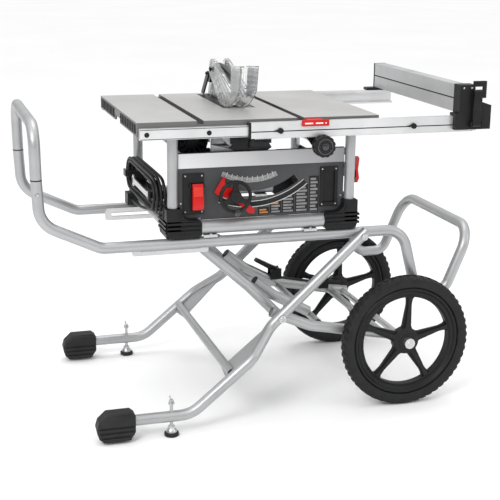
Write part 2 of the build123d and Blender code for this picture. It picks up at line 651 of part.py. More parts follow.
pawl_pivot = (190, 966)
with BuildPart() as kickback_pawls:
    for side, _ in SIDES:
        low_x, high_x = sorted((blade_x + side * shield_gap, blade_x + side * (shield_gap + 5)))
        plane, depth = seen_from_side(low_x, high_x)
        prism(
            plane,
            ((182, 972), (198, 972), (268, table_top + 8), (262, table_top + 3), (254, table_top + 6),
             (248, table_top + 3), (240, table_top + 7), (182, 958)),
            depth,
        )
        bar((low_x - 1, *pawl_pivot), (high_x + 1, *pawl_pivot), 4.05, mode=Mode.SUBTRACT)
save(kickback_pawls.part, "kickback_pawls")

# ---- what is stored on the two sides ----
hank_x, hank_half = -303, 22
hank_low, hank_high = 607, 716
hook_y = (-145, 173)
hook_low, hook_high = 652, 672
with BuildPart() as side_brackets:
    # cord wrap on the left: a bar between the posts with two hooks
    bar_x = posts_x[0] - 3
    block((bar_x, posts_y[0] + post_radius - 1, hook_low), (bar_x + 6, posts_y[1] - post_radius + 1, hook_high))
    for y in hook_y:
        block((hank_x - hank_half - 2, y - 12, hook_low), (bar_x, y + 12, hook_high))
    for y, lip in ((hook_y[0], -1), (hook_y[1], 1)):
        low_y, high_y = sorted((y, y + lip * 34))
        block((hank_x - hank_half - 8, low_y, hook_low), (hank_x - hank_half - 2, high_y, hook_high))
    # clips for the push stick on the right
    block((266, posts_y[0], 700), (271, posts_y[1], 716))
    for y in (-150, 60):
        block((271, y - 8, 688), (286, y + 8, 691))
        block((271, y - 8, 691), (274, y + 8, 716))
save(side_brackets.part, "side_brackets")

with BuildPart() as stored_tools:
    # push stick, lying along the right side
    plane, depth = seen_from_side(276, 284)
    prism(
        plane,
        ((-236, 758), (-222, 762), (-196, 740), (-170, 728), (120, 718), (132, 706), (120, 706),
         (120, 692), (-160, 692), (-190, 686), (-226, 684), (-238, 700), (-228, 722)),
        depth,
    )
    # blade wrench, lying on the ends of the cord hooks
    wrench_x = hank_x - hank_half - 12.5
    block((wrench_x, -176, 662), (wrench_x + 4, 24, 678))
    bar((wrench_x, 24, 670), (wrench_x + 4, 24, 670), 17)
    bar((wrench_x, 30, 670), (wrench_x + 4, 30, 670), 9, mode=Mode.SUBTRACT)
save(stored_tools.part, "stored_tools")

lead_y, lead_z = -206, 638
with BuildPart() as cord_gland:
    block((-243, lead_y - 6, lead_z - 8), (-239, lead_y + 6, lead_z + 8))
    bar((-243, lead_y, lead_z), (-252, lead_y, lead_z), 8)
    with BuildSketch(Plane(origin=(-252, lead_y, lead_z), z_dir=(-1, 0, 0))) as cone:
        Circle(7.5)
    extrude(cone.sketch, amount=9, taper=10)
    bar((-239, lead_y, lead_z), (-262, lead_y, lead_z), 4.5, mode=Mode.SUBTRACT)
save(cord_gland.part, "cord_gland")

cord_radius = 4.5
lead_points = ((-239, lead_y, lead_z), (-255, lead_y, lead_z), (-270, -202, lead_z + 1), (-283, -193, lead_z + 2))


def largest_bends(points):
    """The bend radius at each inner point: 0.45 of the shorter run over tan(half the turn)."""
    radii = []
    for before, at, after in zip(points, points[1:], points[2:]):
        first, second = Vector(*at) - Vector(*before), Vector(*after) - Vector(*at)
        half_turn = radians(first.get_angle(second) / 2)
        radii.append(0.45 * min(first.length, second.length) * cos(half_turn) / sin(half_turn))
    return radii


print("cord lead bends:", [round(r) for r in largest_bends(lead_points)])
with BuildPart() as cord_lead:
    bent_tube(lead_points, largest_bends(lead_points), radius=cord_radius, wall=0)
save(cord_lead.part, "cord_lead")

with BuildPart() as cord_hank:
    plane, depth = seen_from_side(hank_x - hank_half, hank_x + hank_half)
    hank_height = hank_high - hank_low
    with BuildSketch(plane) as loop:
        with Locations((14, (hank_low + hank_high) / 2)):
            SlotOverall(440, hank_height)
            SlotOverall(440 - 2 * 32, hank_height - 2 * 32, mode=Mode.SUBTRACT)
    extrude(loop.sketch, amount=depth)
    fillet(cord_hank.edges().filter_by(GeomType.CIRCLE), 14)
save(cord_hank.part, "cord_hank")

with BuildPart() as plug:
    block((hank_x - 30, 140, hank_low - 39), (hank_x - 3, 188, hank_low - 3))
save(plug.part, "plug")

# ---- stand rails, rest loop and push handle ----
stub_top = (-653, 738)
seam_x = 300
with BuildPart() as side_rails:
    for side, _ in SIDES:
        y = side * rail_side
        bent_tube(
            ((stub_top[0], y, stub_top[1]), (-647, y, 615), (-480, y, rail_z), (seam_x, y, rail_z)),
            (75, 60),
        )
        # hole for the snap button
        bar((-652, y, 700), (-652, y + side * 20, 700), 5, mode=Mode.SUBTRACT)
    for x in (-145, 255):
        bar((x, -rail_in, rail_z), (x, rail_in, rail_z), 14, 12)
save(side_rails.part, "side_rails")

loop_end = (655, 527)
with BuildPart() as rest_loop:
    points, bends = [], []
    corners = ((427, rail_z), (481, 336), (577, 336), loop_end)
    for side in (-1, 1):
        run = [(seam_x, rail_z), *corners]
        for x, z in run if side < 0 else reversed(run):
            points.append((x, side * rail_side, z))
    bends = (70, 45, 45, 75, 75, 45, 45, 70)
    bent_tube(points, bends)
    for side, _ in SIDES:
        y = side * rail_side
        bar((seam_x - 40, y, rail_z), (seam_x, y, rail_z), rail_radius - rail_wall - 0.05, 12)
save(rest_loop.part, "rest_loop")

handle_z = 885
with BuildPart() as push_handle:
    x = -half_length + rail_radius
    bent_tube(
        ((stub_top[0], -rail_side, stub_top[1] + 1), (x, -rail_side, handle_z), (x, rail_side, handle_z),
         (stub_top[0], rail_side, stub_top[1] + 1)),
        (60, 60),
    )
    for side, _ in SIDES:
        y = side * rail_side
        foot = (stub_top[0] + 1.5, y, stub_top[1] - 56)
        bar(foot, (stub_top[0], y, stub_top[1] + 2), rail_radius - rail_wall - 0.6, 11.4)
        bar((-652, y, 700), (-652, y + side * 20, 700), 4.6, mode=Mode.SUBTRACT)
save(push_handle.part, "push_handle")

for side, name in SIDES:
    y = side * rail_side
    with BuildPart() as snap_button:
        bar((-652, y + side * 6, 700), (-652, y + side * 19, 700), 4.2)
        bar((-652, y + side * 4, 700), (-652, y + side * 6, 700), 6)
    save(snap_button.part, f"snap_button_{name}")

# ---- brackets on the rails ----
track_low, track_high = 503, 542
pin_radius = 5
with BuildPart() as rail_brackets:
    for side, _ in SIDES:
        # slotted track for the pin of the brace
        y_low, y_high = sorted((side * 220, side * (rail_in + 1)))
        plane, depth = seen_from_front(y_low, y_high)
        with BuildSketch(plane) as track:
            with Locations((-280, (track_low + track_high) / 2)):
                RectangleRounded(222, track_high - track_low, 8)
            with Locations((-279.5, brace_pin[1])):
                SlotCenterToCenter(171, 2 * pin_radius + 3, mode=Mode.SUBTRACT)
        extrude(track.sketch, amount=depth)
        # saddles that carry the ring of base tubes
        for x in (-170, 130):
            y_low, y_high = sorted((side * (rail_side - 14), side * (rail_side + 14)))
            block((x - 20, y_low, rail_z + rail_radius - 0.5), (x + 20, y_high, base_z - base_radius + 0.5))
        # bolt that the foot leg folds on
        bar(
            (fold_pivot[0], side * (rail_out - 4), fold_pivot[1]),
            (fold_pivot[0], side * (leg_side + 19), fold_pivot[1]), 6,
        )
        bar(
            (fold_pivot[0], side * (leg_side + 16.5), fold_pivot[1]),
            (fold_pivot[0], side * (leg_side + 23), fold_pivot[1]), 10,
        )
save(rail_brackets.part, "rail_brackets")

# ---- foot legs ----
cross_x, cross_z = -127, 166
along = Vector(fold_pivot[0] - cross_pivot[0], 0, fold_pivot[1] - cross_pivot[1]).normalized()
with BuildPart() as foot_legs:
    for side, _ in SIDES:
        top = (fold_pivot[0] + along.X * 18, side * leg_side, fold_pivot[1] + along.Z * 18)
        bent_tube(
            (top, (5, side * leg_side, 276), (-70, side * foot_side, 206.5),
             (-250, side * foot_side, floor_tube_z), (-500, side * foot_side, floor_tube_z)),
            (60, 60, 90),
        )
        # gusset between the leg and the cross tube
        slope = Vector(-75, 0, -69.5).normalized()
        face = Plane(origin=(5, 0, 276), x_dir=(0, 1, 0), z_dir=Vector(0, 1, 0).cross(slope))
        with BuildSketch(face) as gusset:
            with BuildLine():
                Polyline(
                    (side * 262, 0), (side * 262, -30 if face.y_dir.Z > 0 else 30),
                    (side * 326, -96 if face.y_dir.Z > 0 else 96),
                    (side * 326, -196 if face.y_dir.Z > 0 else 196),
                    (side * 240, -186 if face.y_dir.Z > 0 else 186),
                    close=True,
                )
            make_face()
        extrude(gusset.sketch, amount=2, both=True)
        y = side * leg_side
        bar((fold_pivot[0], y - 20, fold_pivot[1]), (fold_pivot[0], y + 20, fold_pivot[1]), 6.05, mode=Mode.SUBTRACT)
        bar((-308, side * foot_side, 30), (-308, side * foot_side, 90), 5.05, mode=Mode.SUBTRACT)
        bar((cross_pivot[0], y - 20, cross_pivot[1]), (cross_pivot[0], y + 20, cross_pivot[1]), 7, mode=Mode.SUBTRACT)
    bar((cross_x, -foot_side + 14, cross_z), (cross_x, foot_side - 14, cross_z), 13, 11)
save(foot_legs.part, "foot_legs")

with BuildPart() as rubber_feet:
    for side, _ in SIDES:
        y = side * foot_side
        plane, depth = seen_from_front(y - 28, y + 28)
        prism(
            plane,
            ((-494, 90), (-426, 90), (-414, 80), (-414, 30), (-430, 6), (-505, 6), (-518, 18),
             (-524, 48), (-518, 68)),
            depth,
        )
        bar((-501, y, floor_tube_z), (-404, y, floor_tube_z), rail_radius + 0.05, mode=Mode.SUBTRACT)
save(rubber_feet.part, "rubber_feet")

with BuildPart() as pivot_shaft:
    (x, z), reach = cross_pivot, leg_side + 20
    bar((x, -reach, z), (x, reach, z), 7)
    for side, _ in SIDES:
        bar((x, side * (reach - 3), z), (x, side * (reach + 5), z), 11)
save(pivot_shaft.part, "pivot_shaft")

for side, name in SIDES:
    x, y = -308, side * foot_side
    with BuildPart() as leveller:
        bar((x, y, 8), (x, y, 112), 5)
        with BuildSketch(Plane.XY) as pad:
            with Locations((x, y)):
                Circle(21)
        extrude(pad.sketch, amount=9, taper=12)
        # wing nut on top
        bar((x, y, 96), (x, y, 106), 9)
        block((x - 2.5, y - 19, 98), (x + 2.5, y + 19, 114))
    save(leveller.part, f"leveller_{name}")

# ---- wheel legs ----
arm_bend = (140, 258)
strut_side = 160
with BuildPart() as wheel_legs:
    for side, _ in SIDES:
        y = side * rail_side
        bent_tube(((18, y, 311.4), (arm_bend[0], y, arm_bend[1]), (446, y, 200)), (120,))
        bent_tube(((-10, side * strut_side, 385), (48, side * strut_side, 337), (163, side * strut_side, 275)), (90,))
        bar((cross_pivot[0], y - 20, cross_pivot[1]), (cross_pivot[0], y + 20, cross_pivot[1]), 7.05, mode=Mode.SUBTRACT)
        bar((hub_x, y - 20, hub_z), (hub_x, y + 20, hub_z), 10, mode=Mode.SUBTRACT)
    for x, z in ((170, 262), (376, 214)):
        bar((x, -rail_in - 4, z), (x, rail_in + 4, z), 11, 9)
save(wheel_legs.part, "wheel_legs")

with BuildPart() as axle:
    reach = wheel_side + wheel_width / 2
    bar((hub_x, -reach - 14, hub_z), (hub_x, reach + 14, hub_z), 10)
    for side, _ in SIDES:
        bar((hub_x, side * (reach + 1), hub_z), (hub_x, side * (reach + 16), hub_z), 16)
save(axle.part, "axle")

with BuildPart() as release_linkage:
    bar((180, strut_side, 290), (344, 206, 246), 4.5)
    block((330, 196, 228), (364, 222, 262))
    bar((364, 210, 246), (412, 210, 240), 8)
    # ears on the strut for the lever
    for y in (strut_side - 19, strut_side + 15):
        block((140, y, 290), (176, y + 4, 326))
    bar((158, strut_side - 19, 316), (158, strut_side + 19, 316), 4)
save(release_linkage.part, "release_linkage")

with BuildPart() as release_lever:
    plane, depth = seen_from_front(strut_side - 12, strut_side + 12)
    prism(plane, ((150, 310), (172, 308), (176, 322), (150, 334), (96, 362), (88, 352), (140, 322)), depth)
    bar((158, strut_side - 13, 316), (158, strut_side + 13, 316), 4.05, mode=Mode.SUBTRACT)
save(release_lever.part, "release_lever")

with BuildPart() as braces:
    for side, _ in SIDES:
        y = side * brace_side
        start = Vector(brace_pin[0], y, brace_pin[1])
        knee = Vector(-39, y, 381)
        end = Vector(cross_pivot[0] + 12, y, cross_pivot[1] - 12)
        bent_tube((tuple(start), tuple(knee), tuple(end)), (150,))
        bar((cross_pivot[0], y - 20, cross_pivot[1]), (cross_pivot[0], y + 20, cross_pivot[1]), 7.05, mode=Mode.SUBTRACT)
        pin_low, pin_high = sorted((side * 190, side * 232))
        bar((brace_pin[0], side * 184, brace_pin[1]), (brace_pin[0], side * 225.5, brace_pin[1]), pin_radius)
save(braces.part, "braces")

# ---- wheels ----
rim_outer, rim_inner = 168, 138
for side, name in SIDES:
    y = side * wheel_side
    with BuildPart() as wheel:
        plane, depth = seen_from_front(y - 17, y + 17)
        with BuildSketch(plane) as rim:
            with Locations((hub_x, hub_z)):
                Circle(rim_outer)
                Circle(rim_inner, mode=Mode.SUBTRACT)
        extrude(rim.sketch, amount=depth)
        plane, depth = seen_from_front(y - 10, y + 10)
        with BuildSketch(plane) as spokes:
            with Locations((hub_x, hub_z)):
                Circle(41)
                with PolarLocations(90, 5, start_angle=14):
                    Trapezoid(32, 104, 86, rotation=90)
        extrude(spokes.sketch, amount=depth)
        bar((hub_x, y - wheel_width / 2, hub_z), (hub_x, y + wheel_width / 2, hub_z), 26)
        bar((hub_x, y - 30, hub_z), (hub_x, y + 30, hub_z), 10.05, mode=Mode.SUBTRACT)
    save(wheel.part, f"wheel_{name}")
    with BuildPart() as tyre:
        with BuildSketch(Plane.XY) as section:
            with Locations((hub_x + (rim_outer + wheel_radius) / 2, y)):
                RectangleRounded(wheel_radius - rim_outer, wheel_width, 12)
        revolve(section.sketch.moved(Location((0, 0, hub_z))), axis=Axis((hub_x, y, hub_z), (0, 1, 0)))
    save(tyre.part, f"tyre_{name}")
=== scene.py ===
from math import cos, pi, radians, sin

import bmesh
import bpy
from mathutils import Matrix, Vector


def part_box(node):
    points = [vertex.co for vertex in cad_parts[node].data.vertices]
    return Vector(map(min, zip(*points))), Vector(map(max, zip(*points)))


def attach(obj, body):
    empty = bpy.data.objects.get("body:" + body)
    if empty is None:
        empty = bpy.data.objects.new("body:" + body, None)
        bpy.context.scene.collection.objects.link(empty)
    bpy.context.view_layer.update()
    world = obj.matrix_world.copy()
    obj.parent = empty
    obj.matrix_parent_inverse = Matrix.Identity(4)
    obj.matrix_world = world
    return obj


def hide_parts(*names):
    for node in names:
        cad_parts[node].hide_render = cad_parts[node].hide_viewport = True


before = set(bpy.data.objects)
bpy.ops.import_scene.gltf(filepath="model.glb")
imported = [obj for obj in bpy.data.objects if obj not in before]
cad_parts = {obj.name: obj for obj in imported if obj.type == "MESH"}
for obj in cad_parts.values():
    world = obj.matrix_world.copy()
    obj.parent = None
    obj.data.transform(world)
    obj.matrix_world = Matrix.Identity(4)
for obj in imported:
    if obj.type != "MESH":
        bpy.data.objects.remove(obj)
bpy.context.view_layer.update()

# Lengths in this script are millimetres, and MM turns them into Blender's metres.
MM = 0.001


def corners(node):
    """The lowest and highest corner of a CAD node, in millimetres."""
    low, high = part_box(node)
    return low / MM, high / MM


# ---- places taken from the frame ----
TABLE_LOW, TABLE_HIGH = corners("table")
THROAT_LOW, THROAT_HIGH = corners("throat_plate")
PANEL_LOW, PANEL_HIGH = corners("front_panel")
RAILS_LOW, RAILS_HIGH = corners("sliding_rails")
BARS_LOW, BARS_HIGH = corners("guide_bars")
BEAM_LOW, BEAM_HIGH = corners("fence_beam")
KNOB_LOW, KNOB_HIGH = corners("rail_knob")
WHEEL_LOW, WHEEL_HIGH = corners("handwheel")
POINTER_LOW = corners("scale_pointer")[0]
BLADE_LOW, BLADE_HIGH = corners("saw_blade")
TYRES = {side: corners(f"tyre_{side}") for side in ("front", "rear")}
BLADE_X = (BLADE_LOW.x + BLADE_HIGH.x) / 2
TABLE_TOP = TABLE_HIGH.z
PANEL_FACE = PANEL_LOW.y + 2          # the face below the raised strip
STRIP_Z = 750                         # lower edge of the raised strip on the panel
KNOB = Vector(((KNOB_LOW.x + KNOB_HIGH.x) / 2, KNOB_LOW.y, (KNOB_LOW.z + KNOB_HIGH.z) / 2))
SHAFT = Vector(((WHEEL_LOW.x + WHEEL_HIGH.x) / 2, 0, (WHEEL_LOW.z + WHEEL_HIGH.z) / 2))


# ---- materials ----
def principled(name):
    """A new node material and its tree, shader and object coordinates."""
    material = bpy.data.materials.new(name)
    material.use_nodes = True
    tree = material.node_tree
    shader = tree.nodes["Principled BSDF"]
    coords = tree.nodes.new("ShaderNodeTexCoord")
    return material, tree, shader, coords.outputs["Object"]


def stretched(tree, coords, stretch):
    """The coordinates scaled, so that a texture has its own grain in each direction."""
    mapping = tree.nodes.new("ShaderNodeMapping")
    mapping.inputs["Scale"].default_value = stretch
    tree.links.new(coords, mapping.inputs["Vector"])
    return mapping.outputs["Vector"]


def noise(tree, coords, scale, detail=3.0, rough=0.55):
    node = tree.nodes.new("ShaderNodeTexNoise")
    node.inputs["Scale"].default_value = scale
    node.inputs["Detail"].default_value = detail
    node.inputs["Roughness"].default_value = rough
    tree.links.new(coords, node.inputs["Vector"])
    return node.outputs["Fac"]


def spread(tree, value, low, high, from_low=0.3, from_high=0.7):
    """Maps a texture's value to a range."""
    node = tree.nodes.new("ShaderNodeMapRange")
    node.inputs["From Min"].default_value = from_low
    node.inputs["From Max"].default_value = from_high
    node.inputs["To Min"].default_value = low
    node.inputs["To Max"].default_value = high
    tree.links.new(value, node.inputs["Value"])
    return node.outputs["Result"]


def tint(tree, factor, first, second):
    """A colour between two, by a factor from 0 to 1."""
    node = tree.nodes.new("ShaderNodeMix")
    node.data_type = "RGBA"
    tree.links.new(factor, node.inputs["Factor"])
    node.inputs["A"].default_value = (*first, 1)
    node.inputs["B"].default_value = (*second, 1)
    return node.outputs["Result"]


def raise_surface(tree, shader, height, depth, edge=0.0006):
    """Bump from a height, over edges that the Bevel node softens."""
    soft = tree.nodes.new("ShaderNodeBevel")
    soft.samples = 4
    soft.inputs["Radius"].default_value = edge
    bump = tree.nodes.new("ShaderNodeBump")
    bump.inputs["Strength"].default_value = 1.0
    bump.inputs["Distance"].default_value = depth
    tree.links.new(soft.outputs["Normal"], bump.inputs["Normal"])
    tree.links.new(height, bump.inputs["Height"])
    tree.links.new(bump.outputs["Normal"], shader.inputs["Normal"])


def finish_material(
    name, dark, light, rough, metal=0.0, grain=(1, 1, 1), patch=9.0, fine=900.0, depth=0.00004, coat=0.0,
    edge=0.0006, shine=0.5,
):
    """A surface that varies slowly in colour and gloss, with a fine relief along its grain."""
    material, tree, shader, coords = principled(name)
    slow = noise(tree, coords, patch, 5.0)
    small = noise(tree, stretched(tree, coords, grain), fine, 2.0)
    colour = tint(tree, spread(tree, slow, 0.0, 1.0), dark, light)
    tree.links.new(colour, shader.inputs["Base Color"])
    tree.links.new(spread(tree, slow, *rough), shader.inputs["Roughness"])
    shader.inputs["Metallic"].default_value = metal
    shader.inputs["Specular IOR Level"].default_value = shine
    shader.inputs["Coat Weight"].default_value = coat
    shader.inputs["Coat Roughness"].default_value = 0.2
    raise_surface(tree, shader, small, depth, edge)
    return material


def table_metal():
    """Ground aluminium: short fine scratches along X, with painted shade making it darker below and on the
    skirt.
    """
    material, tree, shader, coords = principled("ground_table")
    slow = noise(tree, coords, 4.0, 6.0)
    lines = noise(tree, stretched(tree, coords, (25, 700, 60)), 3.0, 3.0)
    both = tree.nodes.new("ShaderNodeMath")
    both.operation = "MULTIPLY_ADD"
    both.inputs[1].default_value = 0.5
    tree.links.new(lines, both.inputs[0])
    half = spread(tree, slow, 0.1, 0.4)
    tree.links.new(half, both.inputs[2])
    mixed = spread(tree, both.outputs[0], 0.0, 1.0)
    colour = tint(tree, mixed, (0.37, 0.367, 0.357), (0.48, 0.477, 0.465))
    # painted shade: faces that turn away from straight up get a dark colour, so the sides and undersides look
    # shaded
    surface = tree.nodes.new("ShaderNodeNewGeometry")
    split = tree.nodes.new("ShaderNodeSeparateXYZ")
    tree.links.new(surface.outputs["True Normal"], split.inputs["Vector"])
    shade_by_facing = spread(tree, split.outputs["Z"], 0.0, 1.0, 0.2, 0.8)
    sides = tree.nodes.new("ShaderNodeMix")
    sides.data_type = "RGBA"
    sides.inputs["A"].default_value = (0.15, 0.15, 0.148, 1)
    tree.links.new(shade_by_facing, sides.inputs["Factor"])
    tree.links.new(colour, sides.inputs["B"])
    tree.links.new(sides.outputs["Result"], shader.inputs["Base Color"])
    tree.links.new(spread(tree, lines, 0.34, 0.5), shader.inputs["Roughness"])
    shader.inputs["Metallic"].default_value = 0.4
    raise_surface(tree, shader, lines, 0.00003, 0.001)
    return material


def clear_plastic(name, through, dark, light):
    material, tree, shader, coords = principled(name)
    shader.inputs["Transmission Weight"].default_value = through
    shader.inputs["IOR"].default_value = 1.25
    slow = noise(tree, coords, 30.0)
    colour = tint(tree, spread(tree, slow, 0.0, 1.0), dark, light)
    tree.links.new(colour, shader.inputs["Base Color"])
    tree.links.new(spread(tree, slow, 0.03, 0.07), shader.inputs["Roughness"])
    raise_surface(tree, shader, noise(tree, coords, 240.0), 0.00002, 0.0005)
    return material


def strip_metal():
    """The strip along the top of the panel, brushed along X, with a painted highlight that makes it lighter
    at its left end.
    """
    material, tree, shader, coords = principled("strip_metal")
    lines = noise(tree, stretched(tree, coords, (8, 500, 900)), 2.0, 3.0)
    split = tree.nodes.new("ShaderNodeSeparateXYZ")
    tree.links.new(coords, split.inputs["Vector"])
    # painted highlight: the colour fades from light at the left end to dark at the right, standing in for the
    # light along the strip
    along = spread(tree, split.outputs["X"], 0.0, 1.0, PANEL_LOW.x * MM, PANEL_HIGH.x * MM)
    colour = tint(tree, along, (0.74, 0.74, 0.75), (0.3, 0.3, 0.31))
    tree.links.new(colour, shader.inputs["Base Color"])
    tree.links.new(spread(tree, lines, 0.28, 0.42), shader.inputs["Roughness"])
    shader.inputs["Metallic"].default_value = 0.55
    raise_surface(tree, shader, lines, 0.00002)
    return material


def cord_rubber():
    """Ribbed black jacket of the supply cord."""
    material, tree, shader, coords = principled("cord_jacket")
    slow = noise(tree, coords, 40.0)
    colour = tint(tree, spread(tree, slow, 0.0, 1.0), (0.007, 0.007, 0.0075), (0.016, 0.016, 0.017))
    tree.links.new(colour, shader.inputs["Base Color"])
    shader.inputs["Specular IOR Level"].default_value = 0.3
    tree.links.new(spread(tree, slow, 0.38, 0.52), shader.inputs["Roughness"])
    raise_surface(tree, shader, noise(tree, coords, 1500.0), 0.00006)
    return material


TABLE = table_metal()
TUBE = finish_material(
    "silver_tube", (0.39, 0.395, 0.4), (0.45, 0.455, 0.46), (0.38, 0.46), 0.72, patch=9, depth=0.00001,
)
ALUMINIUM = finish_material(
    "rail_aluminium", (0.6, 0.605, 0.61), (0.72, 0.725, 0.73), (0.3, 0.44), 0.6, (12, 900, 900), fine=2.0,
    depth=0.00002,
)
FENCE = finish_material(
    "fence_aluminium", (0.42, 0.425, 0.43), (0.52, 0.525, 0.53), (0.32, 0.46), 0.55, (900, 12, 900), fine=2.0,
    depth=0.00002,
)
CAST = finish_material(
    "cast_metal", (0.36, 0.365, 0.37), (0.46, 0.465, 0.47), (0.42, 0.56), 0.5, depth=0.00008,
)
STEEL = finish_material(
    "zinc_steel", (0.5, 0.5, 0.505), (0.6, 0.6, 0.605), (0.24, 0.34), 0.92, patch=22, depth=0.00002,
)
BLADE_STEEL = finish_material(
    "blade_steel", (0.5, 0.5, 0.51), (0.6, 0.6, 0.6), (0.22, 0.34), 1.0, patch=20, depth=0.00001,
)
BLACK = finish_material(
    "black_plastic", (0.006, 0.006, 0.0065), (0.014, 0.014, 0.015), (0.36, 0.52), patch=18, fine=1400,
    depth=0.00006, shine=0.24,
)
GLOSSY = finish_material(
    "glossy_ball", (0.01, 0.01, 0.0105), (0.018, 0.018, 0.019), (0.1, 0.16), patch=18, coat=0.6,
)
BLACK_PAINT = finish_material(
    "black_paint", (0.007, 0.007, 0.0075), (0.015, 0.015, 0.016), (0.28, 0.42), 0.1, patch=12, shine=0.28,
)
GREY_PAINT = finish_material(
    "panel_grey", (0.045, 0.046, 0.048), (0.066, 0.067, 0.07), (0.36, 0.48), 0.1, patch=7, depth=0.00005,
    shine=0.3,
)
RED = finish_material(
    "red_plastic", (0.46, 0.008, 0.008), (0.58, 0.014, 0.012), (0.28, 0.38), patch=25, shine=0.3,
)
# painted highlight: a lighter copy of the red plastic, for the lit upper half of the switch paddle
RED_PAINTED_HIGHLIGHT = finish_material(
    "red_painted_highlight", (0.6, 0.03, 0.02), (0.7, 0.05, 0.03), (0.28, 0.36), patch=25, shine=0.35,
)
RUBBER = finish_material(
    "foot_rubber", (0.012, 0.012, 0.013), (0.026, 0.026, 0.027), (0.55, 0.72), patch=20, fine=700,
    depth=0.0001, shine=0.25,
)
TYRE = finish_material(
    "tyre_rubber", (0.008, 0.008, 0.0085), (0.018, 0.018, 0.019), (0.5, 0.68), patch=26, fine=1100,
    depth=0.00008, shine=0.25,
)
WHITE = finish_material("white_mark", (0.72, 0.72, 0.7), (0.85, 0.85, 0.84), (0.4, 0.5), patch=50)
LABEL = finish_material(
    "blank_label", (0.16, 0.16, 0.162), (0.24, 0.24, 0.243), (0.4, 0.5), patch=50, shine=0.3,
)
LABEL_WARM = finish_material(
    "warm_label", (0.42, 0.17, 0.05), (0.5, 0.22, 0.07), (0.4, 0.5), patch=50, shine=0.3,
)
# painted shade in the mitre slots, the rail grooves and the fence grooves, and a plain dark colour on the
# other pieces that use it
SHADE_AND_DARK_TRIM = finish_material(
    "painted_shade_and_dark_trim", (0.01, 0.01, 0.0105), (0.022, 0.022, 0.023), (0.5, 0.6), patch=15, shine=0.2,
)
CLEAR = clear_plastic("clear_guard", 0.95, (0.9, 0.91, 0.91), (0.97, 0.97, 0.97))
# painted shade: the ribs get a greyer, less clear copy of the guard plastic, standing in for the way light
# bends through them
CLEAR_RIB_SHADED = clear_plastic("clear_rib_painted_shade", 0.7, (0.5, 0.51, 0.52), (0.62, 0.63, 0.64))
STRIP = strip_metal()
CORD = cord_rubber()

NODE_MATERIALS = {
    TABLE: ("table",),
    TUBE: ("base_frame", "side_rails", "rest_loop", "push_handle", "foot_legs", "wheel_legs", "braces"),
    ALUMINIUM: ("guide_bars", "sliding_rails", "gearbox"),
    FENCE: ("fence_beam",),
    STEEL: (
        "rail_brackets", "pinion_shaft", "riving_knife", "lift_screw", "motor_armature", "arbor",
        "pivot_shaft", "axle", "leveller_front", "leveller_rear", "snap_button_front", "snap_button_rear",
    ),
    BLADE_STEEL: ("saw_blade",),
    BLACK: (
        "rail_fittings", "rail_knob", "rail_lock_lever", "fence_clamps", "fence_lever", "corner_bumpers",
        "panel_plates", "handwheel", "crank_knob", "motor_housing", "cord_gland", "plug", "release_lever",
        "wheel_front", "wheel_rear",
    ),
    BLACK_PAINT: (
        "throat_plate", "under_table_brackets", "side_brackets", "guard_arm", "kickback_pawls",
        "release_linkage",
    ),
    CAST: ("tilt_cradle",),
    GREY_PAINT: ("front_panel",),
    RED: ("scale_pointer", "switch_paddle", "bevel_pointer", "bevel_lock_lever", "stored_tools"),
    RUBBER: ("rubber_feet",),
    TYRE: ("tyre_front", "tyre_rear"),
    CLEAR: ("shield_left", "shield_right"),
    CORD: ("cord_lead", "cord_hank"),
}
for material, nodes in NODE_MATERIALS.items():
    for node in nodes:
        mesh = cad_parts[node].data
        mesh.materials.clear()
        mesh.materials.append(material)


